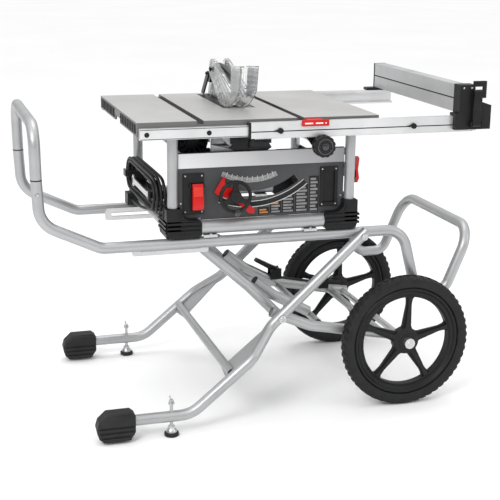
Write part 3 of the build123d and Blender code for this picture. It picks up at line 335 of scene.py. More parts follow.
# ---- mesh helpers ----
class Shape:
    """A mesh that is built up in millimetres and placed in the frame when it is done."""

    def __init__(self):
        self.bm = bmesh.new()

    def face_loop(self, points):
        return [self.bm.verts.new(Vector(p) * MM) for p in points]

    def box(self, low, high):
        (x0, y0, z0), (x1, y1, z1) = low, high
        self.loft([
            ((x0, y0, z0), (x1, y0, z0), (x1, y1, z0), (x0, y1, z0)),
            ((x0, y0, z1), (x1, y0, z1), (x1, y1, z1), (x0, y1, z1)),
        ])
        return self

    def loft(self, rings, closed=False):
        """Joins rings of the same number of points. An open loft is capped at both ends."""
        loops = [self.face_loop(ring) for ring in rings]
        pairs = list(zip(loops, loops[1:]))
        if closed:
            pairs.append((loops[-1], loops[0]))
        count = len(loops[0])
        for one, two in pairs:
            for i in range(count):
                j = (i + 1) % count
                self.bm.faces.new((one[i], one[j], two[j], two[i]))
        if not closed:
            self.bm.faces.new(list(reversed(loops[0])))
            self.bm.faces.new(loops[-1])
        return self

    def plate(self, outline, across, low, high):
        """A flat plate whose outline is given in the two axes other than the one it is thick along."""
        order = {
            "x": lambda a, b, t: (t, a, b),
            "y": lambda a, b, t: (a, t, b),
            "z": lambda a, b, t: (a, b, t),
        }[across]
        return self.loft([[order(a, b, t) for a, b in outline] for t in (low, high)])

    def lathe(self, profile, centre, axis=(0, 1, 0), steps=64, closed=True, turn=0.0):
        """Turns a profile of (radius, distance along the axis) about an axis."""
        frame_of = Vector(axis).to_track_quat("Z", "Y").to_matrix()
        rings = []
        for k in range(steps):
            angle = turn + 2 * pi * k / steps
            out = Vector((cos(angle), sin(angle), 0))
            rings.append([Vector(centre) + frame_of @ (out * r + Vector((0, 0, d))) for r, d in profile])
        return self.loft(rings, closed=True) if closed else self

    def rod(self, start, end, radius, steps=24, end_radius=None):
        start, end = Vector(start), Vector(end)
        turned = (end - start).to_track_quat("Z", "Y").to_matrix()
        rings = []
        for centre, r in ((start, radius), (end, radius if end_radius is None else end_radius)):
            rings.append([
                centre + turned @ Vector((r * cos(2 * pi * k / steps), r * sin(2 * pi * k / steps), 0))
                for k in range(steps)
            ])
        return self.loft(rings)

    def pipe(self, points, radius, steps=12, closed=False):
        """A round bar along points, kept upright from one point to the next."""
        points = [Vector(p) for p in points]
        rings = []
        side = None
        for i, p in enumerate(points):
            before = points[i - 1] if i or closed else p
            after = points[(i + 1) % len(points)] if i < len(points) - 1 or closed else p
            run = (after - before).normalized()
            if side is None:
                side = run.orthogonal().normalized()
            side = (side - run * side.dot(run)).normalized()
            up = run.cross(side)
            rings.append([
                p + (side * cos(2 * pi * k / steps) + up * sin(2 * pi * k / steps)) * radius
                for k in range(steps)
            ])
        return self.loft(rings, closed=closed)

    def done(self, name, body, material, slot, round_off=0.0, smooth=35, replaces=()):
        """Makes the object, rounds its edges, and rides it on a body."""
        bmesh.ops.recalc_face_normals(self.bm, faces=self.bm.faces)
        mesh = bpy.data.meshes.new(name)
        self.bm.to_mesh(mesh)
        self.bm.free()
        piece = bpy.data.objects.new(name, mesh)
        bpy.context.scene.collection.objects.link(piece)
        for polygon in mesh.polygons:
            polygon.use_smooth = True
        mesh.set_sharp_from_angle(angle=radians(smooth))
        mesh.materials.append(material)
        if round_off:
            bevel = piece.modifiers.new("round_off", "BEVEL")
            bevel.width = round_off * MM
            bevel.segments = 2
            bevel.limit_method = "ANGLE"
            bevel.angle_limit = radians(30)
            bevel.harden_normals = True
        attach(piece, body)
        if replaces:
            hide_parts(*replaces)
        return piece


def ring_points(centre, radius, first, last, count):
    """Points on an arc, as pairs. Angles are in degrees from the first axis."""
    return [
        (centre[0] + radius * cos(radians(first + (last - first) * k / count)),
         centre[1] + radius * sin(radians(first + (last - first) * k / count)))
        for k in range(count + 1)
    ]


def screw_head(shape, place, out, radius=4.0, height=2.0):
    """A low domed head with a hexagon socket, standing on a face."""
    profile = [
        (radius, 0), (radius, height * 0.4), (radius * 0.8, height * 0.85), (radius * 0.5, height),
        (radius * 0.5, height * 0.4), (0.05, height * 0.4), (0.05, 0),
    ]
    shape.lathe(profile, place, out, steps=18)


# ---- camera, floor and light ----
def camera():
    """In front of the saw and to its left: turned, tipped down and rolled a little."""
    place = Vector((-0.96996, -3.29438, 1.36177))
    yaw, pitch, roll = radians(16.79), radians(15.06), radians(0.64)
    ahead = Vector((sin(yaw) * cos(pitch), cos(yaw) * cos(pitch), -sin(pitch)))
    level = Vector((cos(yaw), -sin(yaw), 0))
    above = level.cross(ahead)
    right = level * cos(roll) + above * sin(roll)
    up = above * cos(roll) - level * sin(roll)
    data = bpy.data.cameras.new("view")
    data.sensor_width = 36
    data.lens = 82.23
    eye = bpy.data.objects.new("view", data)
    turned = Matrix((right, up, -ahead)).transposed().to_4x4()
    eye.matrix_world = Matrix.Translation(place) @ turned
    bpy.context.scene.collection.objects.link(eye)
    bpy.context.scene.camera = eye


def floor():
    mesh = bpy.data.meshes.new("studio_floor")
    half = 30
    square = [(-half, -half, 0), (half, -half, 0), (half, half, 0), (-half, half, 0)]
    mesh.from_pydata(square, [], [(0, 1, 2, 3)])
    plane = bpy.data.objects.new("studio_floor", mesh)
    bpy.context.scene.collection.objects.link(plane)
    material, tree, shader, coords = principled("studio_floor")
    colour = tint(tree, spread(tree, noise(tree, coords, 0.6), 0, 1), (0.89, 0.89, 0.89), (0.92, 0.92, 0.92))
    tree.links.new(colour, shader.inputs["Base Color"])
    shader.inputs["Roughness"].default_value = 0.9
    shader.inputs["Specular IOR Level"].default_value = 0.1
    mesh.materials.append(material)


def area_light(name, place, aim, size, power):
    data = bpy.data.lights.new(name, "AREA")
    data.shape = "RECTANGLE"
    data.size, data.size_y = size
    data.energy = power
    lamp = bpy.data.objects.new(name, data)
    lamp.location = place
    lamp.rotation_euler = (Vector(aim) - Vector(place)).to_track_quat("-Z", "Y").to_euler()
    bpy.context.scene.collection.objects.link(lamp)


def lights():
    world = bpy.data.worlds.new("studio")
    world.use_nodes = True
    # bright overhead and dim near the horizon, so that upright and shiny faces keep their contrast
    tree = world.node_tree
    coords = tree.nodes.new("ShaderNodeTexCoord")
    split = tree.nodes.new("ShaderNodeSeparateXYZ")
    tree.links.new(coords.outputs["Generated"], split.inputs["Vector"])
    background = tree.nodes["Background"]
    background.inputs["Color"].default_value = (1, 1, 1, 1)
    tree.links.new(spread(tree, split.outputs["Z"], 0.4, 1.2, 0.1, 0.6), background.inputs["Strength"])
    bpy.context.scene.world = world
    area_light("key", (-2.6, -3.0, 3.4), (0, 0, 0.6), (1.6, 1.6), 95)
    area_light("top", (0.3, 0.6, 4.2), (0, 0, 0.6), (2.4, 2.0), 40)
    area_light("fill", (3.4, -2.0, 1.8), (0, 0, 0.5), (1.2, 2.0), 16)


camera()
floor()
lights()
bpy.context.scene.view_settings.view_transform = "Standard"


# ---- supply cord ----
CORD_RADIUS = 4.5
LEAD = [
    (-239, -206, 638), (-258, -206, 638), (-274, -203, 637.5), (-288, -194, 636), (-297, -180, 633),
    (-298.5, -158, 629), (-298, -125, 625),
]
HANK_LOW, HANK_HIGH = corners("cord_hank")
PLUG_LOW, PLUG_HIGH = corners("plug")
HANK_Y, HANK_Z = (HANK_LOW.y + HANK_HIGH.y) / 2, (HANK_LOW.z + HANK_HIGH.z) / 2
HANK_HALF = 164           # from the middle to the centre of each end
INNER_TURN, OUTER_TURN = 39.5, 49.5
TURNS = 5
LEAD_X, PITCH = -297.5, 11.5


def turn_point(share, radius, x):
    """A point on the racetrack round two hooks: along the bottom, up the rear, forwards, down the front."""
    straight = [(-HANK_HALF + 2 * HANK_HALF * k / 4, -radius) for k in range(4)]
    bend = [(HANK_HALF + radius * sin(radians(30 * k)), -radius * cos(radians(30 * k))) for k in range(6)]
    half = straight + bend
    y, z = (half + [(-a, -b) for a, b in half])[share]
    return (x, HANK_Y + y, HANK_Z + z)


def cord_route():
    """The lead, two turns outwards on the inner layer and three turns back on the outer one."""
    points = list(LEAD)
    steps = 20
    for k in range(1, TURNS * steps):
        turn = k / steps
        x = LEAD_X - PITCH * turn if turn < 2 else LEAD_X - PITCH * 2 + PITCH * (turn - 2)
        grown = min(1.0, max(0.0, (turn - 1.8) / 0.5))
        radius = INNER_TURN + (OUTER_TURN - INNER_TURN) * grown
        points.append(turn_point(k % steps, radius, x + 0.5 * sin(0.9 * k)))
    return points


def supply_cord():
    curve = bpy.data.curves.new("supply_cord", "CURVE")
    curve.dimensions = "3D"
    curve.bevel_depth = CORD_RADIUS * MM
    curve.bevel_resolution = 5
    curve.resolution_u = 6
    route = cord_route()
    plug_x, plug_z = (PLUG_LOW.x + PLUG_HIGH.x) / 2, (PLUG_LOW.z + PLUG_HIGH.z) / 2
    bottom = HANK_Z - OUTER_TURN
    # out below the bundle and back into the plug
    route += [
        (-286, -150, bottom), (-288, -120, bottom - 4), (-295, -85, bottom - 11), (-303, -45, bottom - 17),
        (-311, 0, bottom - 22), (plug_x + 2, 50, plug_z + 1), (plug_x, 95, plug_z),
        (plug_x, PLUG_LOW.y + 1, plug_z),
    ]
    spline = curve.splines.new("NURBS")
    spline.points.add(len(route) - 1)
    for point, place in zip(spline.points, route):
        point.co = (*(Vector(place) * MM), 1)
    spline.order_u = 3
    spline.use_endpoint_u = True
    cord = bpy.data.objects.new("supply_cord", curve)
    bpy.context.scene.collection.objects.link(cord)
    curve.materials.append(CORD)
    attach(cord, "machine")
    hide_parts("cord_lead", "cord_hank")
    prongs = Shape()
    for x in (plug_x - 6.5, plug_x + 6.5):
        prongs.box((x - 0.8, PLUG_HIGH.y - 1, plug_z - 3), (x + 0.8, PLUG_HIGH.y + 17, plug_z + 3))
    prongs.rod((plug_x, PLUG_HIGH.y - 1, plug_z - 10), (plug_x, PLUG_HIGH.y + 19, plug_z - 10), 2.4)
    pins = prongs.done("plug_prongs", "machine", STEEL, "steel", 0.3)


supply_cord()


def stored_tools():
    """The push stick and the wrench share one CAD node, so each gets its own piece and material."""
    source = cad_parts["stored_tools"]
    tools = (("push_stick", 1, RED, "red_plastic"), ("blade_wrench", -1, STEEL, "steel"))
    for name, hand, material, slot in tools:
        mesh = source.data.copy()
        shape = bmesh.new()
        shape.from_mesh(mesh)
        bmesh.ops.transform(shape, matrix=source.matrix_world, verts=shape.verts)
        bmesh.ops.delete(shape, geom=[v for v in shape.verts if v.co.x * hand < 0], context="VERTS")
        shape.to_mesh(mesh)
        shape.free()
        mesh.materials.clear()
        mesh.materials.append(material)
        piece = bpy.data.objects.new(name, mesh)
        bpy.context.scene.collection.objects.link(piece)
        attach(piece, "machine")
        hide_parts("stored_tools")


stored_tools()


# ---- wheels ----
RIM_OUTER, RIM_INNER = 168, 138
SPOKES, SPOKE_START = 5, 14


def wheel(side):
    """Ribbed plastic rim with five tapered spokes, in a treaded tyre."""
    low, high = TYRES[side]
    centre = (low + high) / 2
    radius = (high.x - low.x) / 2
    half = (high.y - low.y) / 2
    body = f"{side}_wheel"
    rim = Shape()
    rim.lathe([
        (RIM_OUTER, -15), (RIM_OUTER, 15), (RIM_OUTER - 4, 19), (RIM_OUTER - 9, 19), (RIM_OUTER - 14, 12),
        (RIM_INNER + 8, 9), (RIM_INNER + 4, 12), (RIM_INNER, 12), (RIM_INNER, -12), (RIM_INNER + 4, -12),
        (RIM_INNER + 8, -9), (RIM_OUTER - 14, -12), (RIM_OUTER - 9, -19), (RIM_OUTER - 4, -19),
    ], centre, steps=96)
    rim.lathe([
        (10.5, -half + 1), (17, -half + 1), (19, -half + 4), (26, -half + 4), (27, -half + 7), (38, -14),
        (41, -12), (41, 12), (38, 14), (27, half - 7), (26, half - 4), (19, half - 4), (17, half - 1),
        (10.5, half - 1),
    ], centre, steps=64)
    for k in range(SPOKES):
        angle = radians(SPOKE_START + 360 / SPOKES * k)
        out, across = Vector((cos(angle), 0, sin(angle))), Vector((-sin(angle), 0, cos(angle)))
        # a web with a rib standing out along its middle on each face
        for depth, inner_half, outer_half, flare in ((5, 15, 9, 20), (12, 6, 5, 9)):
            rings = []
            for reach, wide in ((34, inner_half + 5), (46, inner_half), (RIM_INNER - 26, outer_half),
                                (RIM_INNER - 8, outer_half + 2), (RIM_INNER + 4, flare)):
                at = centre + out * reach
                thick = Vector((0, depth, 0))
                rings.append([at - across * wide - thick, at + across * wide - thick,
                              at + across * wide + thick, at - across * wide + thick])
            rim.loft(rings)
    rim.done(f"rim_{side}", body, BLACK, "black_plastic", 1.6, replaces=(f"wheel_{side}",))
    tyre = Shape()
    tyre.lathe([
        (RIM_OUTER, -14), (RIM_OUTER + 2, -19), (RIM_OUTER + 9, -half + 2), (RIM_OUTER + 20, -half),
        (radius - 8, -half + 3), (radius - 4.5, -half + 10), (radius - 3.2, -6), (radius - 3.2, 6),
        (radius - 4.5, half - 10), (radius - 8, half - 3), (RIM_OUTER + 20, half), (RIM_OUTER + 9, half - 2),
        (RIM_OUTER + 2, 19), (RIM_OUTER, 14),
    ], centre, steps=120)
    lugs = 54
    for k in range(lugs):
        for hand in (-1, 1):
            angle = 2 * pi * (k + (0.25 if hand > 0 else 0)) / lugs
            # each lug leans along the tread and folds down over the shoulder
            rows = ((2.0, radius - 3.6, radius - 0.3, 0.0), (11, radius - 4.6, radius - 0.9, 0.35),
                    (half - 5, radius - 9, radius - 4.2, 0.75), (half - 1.2, radius - 17, radius - 11, 0.9))
            rings = []
            for offset, base, top, lean in rows:
                middle = angle + lean * 2 * pi / lugs * 0.5
                wide = 0.30 * 2 * pi / lugs
                rings.append([
                    centre + Vector((r * cos(a), hand * offset, r * sin(a)))
                    for r, a in ((base, middle - wide), (top, middle - wide * 0.85),
                                 (top, middle + wide * 0.85), (base, middle + wide))
                ])
            tyre.loft(rings)
    tyre.done(f"tread_{side}", body, TYRE, "tyre", replaces=(f"tyre_{side}",))
    cap = Shape()
    hand = -1 if side == "front" else 1
    face = centre + Vector((0, hand * (half + 14), 0))
    cap.lathe([(0.05, 0), (13, 0), (14, -1.5), (14, -6), (0.05, -6)], face, (0, hand, 0), steps=6)
    dome = [(0.05, 4), (7, 3.4), (8.5, 1.8), (8.5, 0), (0.05, 0)]
    cap.lathe(dome, face - Vector((0, hand * 0.5, 0)), (0, hand, 0), steps=28)
    cap.done(f"hub_nut_{side}", "wheel_leg_pair", STEEL, "steel", 0.5)


for side in ("front", "rear"):
    wheel(side)


# ---- corner bumpers ----
POSTS_X, POSTS_Y = (-276, 253), (-238, 253)
BUMPER_ARM, BUMPER_HALF, BUMPER_SKIN, BUMPER_LOW, BUMPER_TOP, SLEEVE_TOP = 107, 26, 22, 554, 606, 640
RIB_OUT, RIB_HIGH = 4, 6.5


def bumper_outline():
    """One arm seen from its side: (distance from the post's middle, height)."""
    far = BUMPER_ARM - BUMPER_HALF
    outline = [(-BUMPER_SKIN, 570), (BUMPER_SKIN / -2, BUMPER_LOW), (far - 8, BUMPER_LOW)]
    outline += [(far, BUMPER_LOW + 8), (far, BUMPER_TOP - 9), (far - 8, BUMPER_TOP)]
    # the top sweeps up in a hollow curve to the sleeve
    outline += ring_points((52, BUMPER_TOP + 31), 31, 270, 184, 8)
    outline += [(21, SLEEVE_TOP), (-21, SLEEVE_TOP), (-21, 618), (-BUMPER_SKIN, 604)]
    return outline


def bumpers():
    shape, ribs = Shape(), Shape()
    for x, into_x in zip(POSTS_X, (1, -1)):
        for y, into_y in zip(POSTS_Y, (1, -1)):
            skin = BUMPER_SKIN
            outline = bumper_outline()
            shape.plate([(x + into_x * a, z) for a, z in outline], "y", y - skin, y + skin)
            shape.plate([(y + into_y * a, z) for a, z in outline], "x", x - skin, x + skin)
            # three ribs low down on each outer face, and a rim along the curved top
            for k in range(3):
                z = 570 + 12 * k
                start, end = -BUMPER_HALF, BUMPER_ARM - BUMPER_HALF - 3
                low_x, high_x = sorted((x + into_x * start, x + into_x * end))
                low_y, high_y = sorted((y - into_y * skin, y - into_y * (skin + RIB_OUT)))
                ribs.box((low_x, low_y, z), (high_x, high_y, z + RIB_HIGH))
                low_y, high_y = sorted((y + into_y * start, y + into_y * end))
                low_x, high_x = sorted((x - into_x * skin, x - into_x * (skin + RIB_OUT)))
                ribs.box((low_x, low_y, z), (high_x, high_y, z + RIB_HIGH))
            rim = ring_points((52, BUMPER_TOP + 31), 34, 268, 184, 10)
            rim = [(BUMPER_ARM - BUMPER_HALF - 6, BUMPER_TOP - 3)] + rim + [(18, SLEEVE_TOP - 3)]
            face_y = y - into_y * skin
            face_x = x - into_x * skin
            ribs.pipe([(x + into_x * a, face_y, z) for a, z in rim], 2.6, 8)
            ribs.pipe([(face_x, y + into_y * a, z) for a, z in rim], 2.6, 8)
            ribs.pipe([(x + into_x * (a - 5), face_y, z - 9) for a, z in rim], 2.2, 8)
            ribs.pipe([(face_x, y + into_y * (a - 5), z - 9) for a, z in rim], 2.2, 8)
    shape.done("bumper_shells", "machine", BLACK, "black_plastic", 3.0, replaces=("corner_bumpers",))
    ribs.done("bumper_ribs", "machine", BLACK, "black_plastic", 1.2)


bumpers()


# ---- feet ----
FEET = corners("rubber_feet")
FOOT_SIDE = (FEET[1].y + -FEET[0].y) / 2 - 28


def foot_outline(inset):
    points = [
        (-494, 90), (-426, 90), (-414, 80), (-414, 30), (-430, 6), (-505, 6), (-518, 18),
        (-524, 48), (-518, 68),
    ]
    middle = Vector((-469, 48))
    return [tuple(Vector(p) + (middle - Vector(p)).normalized() * inset) for p in points]


def feet():
    core, ribs = Shape(), Shape()
    for hand in (-1, 1):
        y = hand * FOOT_SIDE
        rings = []
        for offset, inset in ((-24, 5), (-20, 0), (20, 0), (24, 5)):
            rings.append([(x, y + offset, z) for x, z in foot_outline(inset)])
        core.loft(rings)
        for face in (-1, 1):
            near, far = sorted((y + face * 22, y + face * 28))
            # a broad cheek and three bars below it, pointed at the front like the block
            cheek = [(-489, 85), (-424, 85), (-419, 79), (-419, 53), (-517, 53), (-513, 68)]
            ribs.plate(cheek, "y", near, far)
            for start, end, z in ((-508, -428, 11), (-515, -419, 25), (-518, -418, 39)):
                ribs.plate([(start, z), (end, z), (end, z + 9), (start - 2, z + 9)], "y", near, far)
    core.done("foot_blocks", "foot_leg_pair", RUBBER, "foot_rubber", 2.5, replaces=("rubber_feet",))
    ribs.done("foot_ribs", "foot_leg_pair", RUBBER, "foot_rubber", 1.8)


def leveller(side):
    """A rubber pad under a domed nut, on a screw with a tall wing nut."""
    low, high = corners(f"leveller_{side}")
    x, y = (low.x + high.x) / 2, (low.y + high.y) / 2
    body = f"{side}_leveller"
    pad = Shape()
    pad.lathe([(0.05, 0), (19, 0), (21, 2), (21, 9), (18, 12), (0.05, 12)], (x, y, 0), (0, 0, 1), steps=48)
    pad.done(f"pad_{side}", body, RUBBER, "foot_rubber", replaces=(f"leveller_{side}",))
    screw = Shape()
    profile = [(0.05, 12), (16, 12), (15, 17), (10, 23), (10, 30), (5, 30)]
    for k in range(26):
        profile += [(5, 31 + 3 * k), (4.3, 32.5 + 3 * k)]
    screw.lathe(profile + [(5, 110), (0.05, 110)], (x, y, 0), (0, 0, 1), steps=24)
    screw.lathe([(0.05, 96), (9, 96), (9, 99), (7, 106), (0.05, 106)], (x, y, 0), (0, 0, 1), steps=24)
    for hand in (-1, 1):
        screw.plate([(y + hand * 4, 97), (y + hand * 9, 97), (y + hand * 20, 111), (y + hand * 19, 114),
                     (y + hand * 14, 114), (y + hand * 5, 104)], "x", x - 2, x + 2)
    screw.done(f"leveller_screw_{side}", body, STEEL, "steel", 0.3, replaces=(f"leveller_{side}",))


feet()
for side in ("front", "rear"):
    leveller(side)


# ---- handwheel, knobs and levers ----
SHAFT_END_Y = -199        # where the handwheel's shaft goes into the panel


def handwheel():
    shape = Shape()
    rim_radius = (WHEEL_HIGH.x - WHEEL_LOW.x) / 2 - 5
    front = WHEEL_LOW.y + 18
    centre = Vector((SHAFT.x, front + 10, SHAFT.z))
    rim = [(rim_radius + 5 * cos(2 * pi * k / 14), 6.5 * sin(2 * pi * k / 14)) for k in range(14)]
    shape.lathe(rim, centre, steps=72)
    hub = [(4, -9.5), (0.05, -10), (0.05, -8), (15, -8), (17, -5), (17, 7), (15, 10)]
    shape.lathe(hub, centre, steps=40)
    for k in range(3):
        angle = radians(90 + 120 * k)
        out, across = Vector((cos(angle), 0, sin(angle))), Vector((-sin(angle), 0, cos(angle)))
        rings = []
        for reach, wide, thick in ((10, 13, 5), (20, 8.5, 4.5), (32, 7, 4), (rim_radius, 11, 4)):
            at, deep = centre + out * reach, Vector((0, thick, 0))
            rings.append([at - across * wide - deep, at + across * wide - deep,
                          at + across * wide + deep, at - across * wide + deep])
        shape.loft(rings)
    shape.rod((SHAFT.x, front + 8, SHAFT.z), (SHAFT.x, SHAFT_END_Y, SHAFT.z), 8)
    shape.done("handwheel_body", "lift_wheel", BLACK, "black_plastic", 1.5, replaces=("handwheel",))
    grip = Shape()
    low, high = corners("crank_knob")
    middle = (low + high) / 2
    deep = (high.y - low.y) / 2
    grip.lathe([(0.05, deep), (5.5, deep), (6.5, deep * 0.6), (9.4, 0), (10, -deep * 0.45),
                (8.5, -deep * 0.85), (5, -deep), (0.05, -deep - 0.3)], middle, (0, 1, 0), steps=32)
    grip.done("crank_grip", "crank", GLOSSY, "black_plastic", replaces=("crank_knob",))


def rail_knob():
    """The scalloped knob has a dished face with a raised boss and a ring."""
    face = KNOB_LOW.y
    shape = Shape()
    centre = (KNOB.x, face, KNOB.z)
    shape.lathe([(19, 1), (19, -1.6), (21, -2.4), (23, -1.6), (23, 1)], centre, steps=64)
    shape.lathe([(0.05, 1), (0.05, -4), (8, -4), (10, -3), (11, 1)], centre, steps=40)
    for k in range(12):
        angle = 2 * pi * k / 12
        at = Vector((KNOB.x + 15 * cos(angle), face, KNOB.z + 15 * sin(angle)))
        shape.rod(at, at - Vector((0, 1.2, 0)), 1.6, 10)
    shape.done("knob_face", "rail_pinion", GLOSSY, "black_plastic", 0.4)


handwheel()
rail_knob()


# ---- front panel ----
SCALE_CENTRE = (BLADE_X, TABLE_TOP)   # the tilt axis


def on_scale(radius, angle):
    """X and Z at a radius from the tilt axis. The angle is from straight down, positive to the right."""
    return SCALE_CENTRE[0] + radius * sin(radians(angle)), SCALE_CENTRE[1] - radius * cos(radians(angle))


def arc_band(shape, inner, outer, first, last, y_low, y_high, count=36):
    near = [on_scale(inner, first + (last - first) * k / count) for k in range(count + 1)]
    far = [on_scale(outer, first + (last - first) * k / count) for k in range(count + 1)]
    rings = [
        [(a[0], y_low, a[1]), (b[0], y_low, b[1]), (b[0], y_high, b[1]), (a[0], y_high, a[1])]
        for a, b in zip(near, far)
    ]
    shape.loft(rings)


def panel():
    face = PANEL_FACE
    strip = Shape()
    strip.box((PANEL_LOW.x + 7, face - 2.8, STRIP_Z), (PANEL_HIGH.x - 7, face - 1.4, PANEL_HIGH.z - 1))
    strip.done("panel_strip", "machine", STRIP, "aluminium", 0.5)
    band = Shape()
    arc_band(band, 243, 245.5, -22, 40, face - 2.6, face)
    arc_band(band, 259.5, 262, -22, 40, face - 2.6, face)
    band.done("tilt_band", "machine", STEEL, "steel", 0.4)
    groove = Shape()
    arc_band(groove, 245.5, 259.5, -22, 40, face - 1.2, face)
    groove.done("tilt_groove", "machine", SHADE_AND_DARK_TRIM, "black_plastic")
    marks = Shape()
    for k in range(-4, 49):
        angle = -24 + k
        long = k % 5 == 0
        middle, wide = on_scale(181, angle), 0.7 if long else 0.45
        out = Vector((sin(radians(angle)), 0, -cos(radians(angle))))
        across = Vector((cos(radians(angle)), 0, sin(radians(angle))))
        at = Vector((middle[0], face, middle[1]))
        top = 9 if long else 5.5
        ring = [
            at - across * wide - out * top, at + across * wide - out * top,
            at + across * wide + out * 6, at - across * wide + out * 6,
        ]
        marks.loft([[p - Vector((0, 0.5, 0)) for p in ring], ring])
    arc_band(marks, 188, 188.8, -28, 24.5, face - 0.5, face)
    marks.done("tilt_scale", "machine", WHITE, "table_paint")
    # plain blank plates in the lower right corner
    plates, fields, warm = Shape(), Shape(), Shape()
    for x, wide, high in ((-24, 34, 627), (12, 34, 645), (48, 38, 664), (88, 40, 688), (130, 30, 712)):
        plates.box((x, face - 0.5, 607), (x + wide, face, high))
        bars = 2 + int((high - 620) / 11)
        for k in range(bars):
            z = 609.5 + (high - 612) * k / bars
            field = warm if x == -24 or (x == 12 and k == bars - 1) else fields
            end = x + wide - 4 - 5 * (k % 2)
            field.box((x + 4, face - 0.8, z), (end, face, z + (high - 612) / bars * 0.62))
    plates.done("blank_plates", "machine", SHADE_AND_DARK_TRIM, "black_plastic", 0.2)
    fields.done("blank_bars", "machine", LABEL, "black_plastic")
    warm.done("warm_bars", "machine", LABEL_WARM, "red_plastic")
    # screws of the switch plate and of the pocket plate, and of the panel
    screws = Shape()
    for low_x, high_x, low_z, high_z in ((-240, -192, 626, 729), (169, 211, 627, 731)):
        for x in (low_x, high_x):
            for z in (low_z, high_z):
                screw_head(screws, (x, face - 5.6 if x < 0 else face - 3.8, z), (0, -1, 0), 2.6, 1.6)
    for x in (-252, 228):
        for z in (650, 780):
            screw_head(screws, (x, face - 0.2, z), (0, -1, 0), 3.2, 1.8)
    screws.done("panel_screws", "machine", STEEL, "steel")
    # painted highlight: a lighter red plate over the upper half of the paddle, standing in for the light on
    # it
    paddle_low, paddle_high = corners("switch_paddle")
    painted_highlight_patch = Shape()
    painted_highlight_patch.plate(
        [
            (paddle_low.y + 0.6, 672), (paddle_low.y + 5.2, 699),
            (paddle_low.y + 8, 699), (paddle_low.y + 3.4, 672),
        ],
        "x", paddle_low.x + 2, paddle_high.x - 2,
    )
    painted_highlight_patch.done("paddle_painted_highlight", "switch", RED_PAINTED_HIGHLIGHT, "red_plastic", 0.8)


panel()


# ---- rails, table and fence ----
RAIL_MIDDLE_Z = 860
SLOTS_X, SLOT_HALF = (-208, 81), 8.9


def rails():
    lines, screws, tabs = Shape(), Shape(), Shape()
    front = BARS_LOW.y
    rear = BARS_HIGH.y
    for z in (BARS_LOW.z + 1.5, BARS_HIGH.z - 3.5):
        lines.box((BARS_LOW.x + 1, front - 0.4, z), (RAILS_LOW.x - 1, front + 0.2, z + 1.6))
        lines.box((BARS_LOW.x + 1, rear - 0.2, z), (RAILS_LOW.x - 1, rear + 0.4, z + 1.6))
    lines.done("guide_bar_lines", "machine", SHADE_AND_DARK_TRIM, "black_plastic")
    for x in (-361, -188):
        # low enough for the sliding rails, which pass 2 mm in front of the bars
        screw_head(screws, (x, front, RAIL_MIDDLE_Z), (0, -1, 0), 7, 1.5)
        screw_head(screws, (x, rear, RAIL_MIDDLE_Z), (0, 1, 0), 7, 1.5)
    screws.done("guide_bar_screws", "machine", BLACK, "black_plastic")
    # painted shade: a dark strip set inside the groove along the front and rear faces of the sliding rails
    groove_shade = Shape()
    for face, into in ((RAILS_LOW.y, 1), (RAILS_HIGH.y, -1)):
        low_y, high_y = sorted((face + into * 0.3, face + into * 1.6))
        groove_shade.box((RAILS_LOW.x + 1, low_y, 857.2), (RAILS_HIGH.x - 1, high_y, 859.8))
    groove_shade.done("rail_groove_shade", "sliding_rail_set", SHADE_AND_DARK_TRIM, "black_plastic")
    for x in (14, 415):
        for face, out in ((RAILS_LOW.y - 6, (0, -1, 0)), (RAILS_HIGH.y + 6, (0, 1, 0))):
            screw_head(tabs, (x, face, RAIL_MIDDLE_Z), out, 4.5, 1.6)
    tabs.done("cam_screws", "sliding_rail_set", BLACK, "black_plastic")
    patches = Shape()
    for x, wide in ((POINTER_LOW.x + 8, 24), (POINTER_LOW.x + 40, 22), (POINTER_LOW.x + 68, 4)):
        patches.box((x, POINTER_LOW.y - 0.5, 876), (x + wide, POINTER_LOW.y, 880))
    patches.done("pointer_windows", "machine", WHITE, "table_paint", 0.2)


def table_details():
    # painted shade: a dark strip laid on the floor of each mitre slot
    slot_shade = Shape()
    for x in SLOTS_X:
        slot_shade.box(
            (x - SLOT_HALF, TABLE_LOW.y + 1, TABLE_TOP - 8.9),
            (x + SLOT_HALF, TABLE_HIGH.y - 1, TABLE_TOP - 8.2),
        )
    slot_shade.done("slot_floor_shade", "machine", SHADE_AND_DARK_TRIM, "black_plastic")
    sides = Shape()
    for x, out in ((TABLE_LOW.x, -1), (TABLE_HIGH.x, 1)):
        near, far = sorted((x, x + out * 1.2))
        rib_near, rib_far = sorted((x + out * 1.0, x + out * 3))
        for y0, y1 in ((TABLE_LOW.y + 14, -48), (48, TABLE_HIGH.y - 14)):
            sides.box((near, y0, TABLE_TOP - 33), (far, y1, TABLE_TOP - 6))
            count = 9
            for k in range(count):
                y = y0 + (y1 - y0) * (k + 0.5) / count
                sides.box((rib_near, y - 2, TABLE_TOP - 32), (rib_far, y + 2, TABLE_TOP - 7))
    sides.done("skirt_panels", "machine", BLACK_PAINT, "dark_paint", 0.5)
    screws = Shape()
    left, right = THROAT_LOW.x + 14, THROAT_HIGH.x - 14
    front, rear = THROAT_LOW.y + 14, THROAT_HIGH.y - 14
    for x, y in ((left, rear), (right, front), (right, rear)):
        screw_head(screws, (x, y, TABLE_TOP - 0.2), (0, 0, 1), 3.6, 0.9)
    screws.done("throat_screws", "machine", STEEL, "steel")


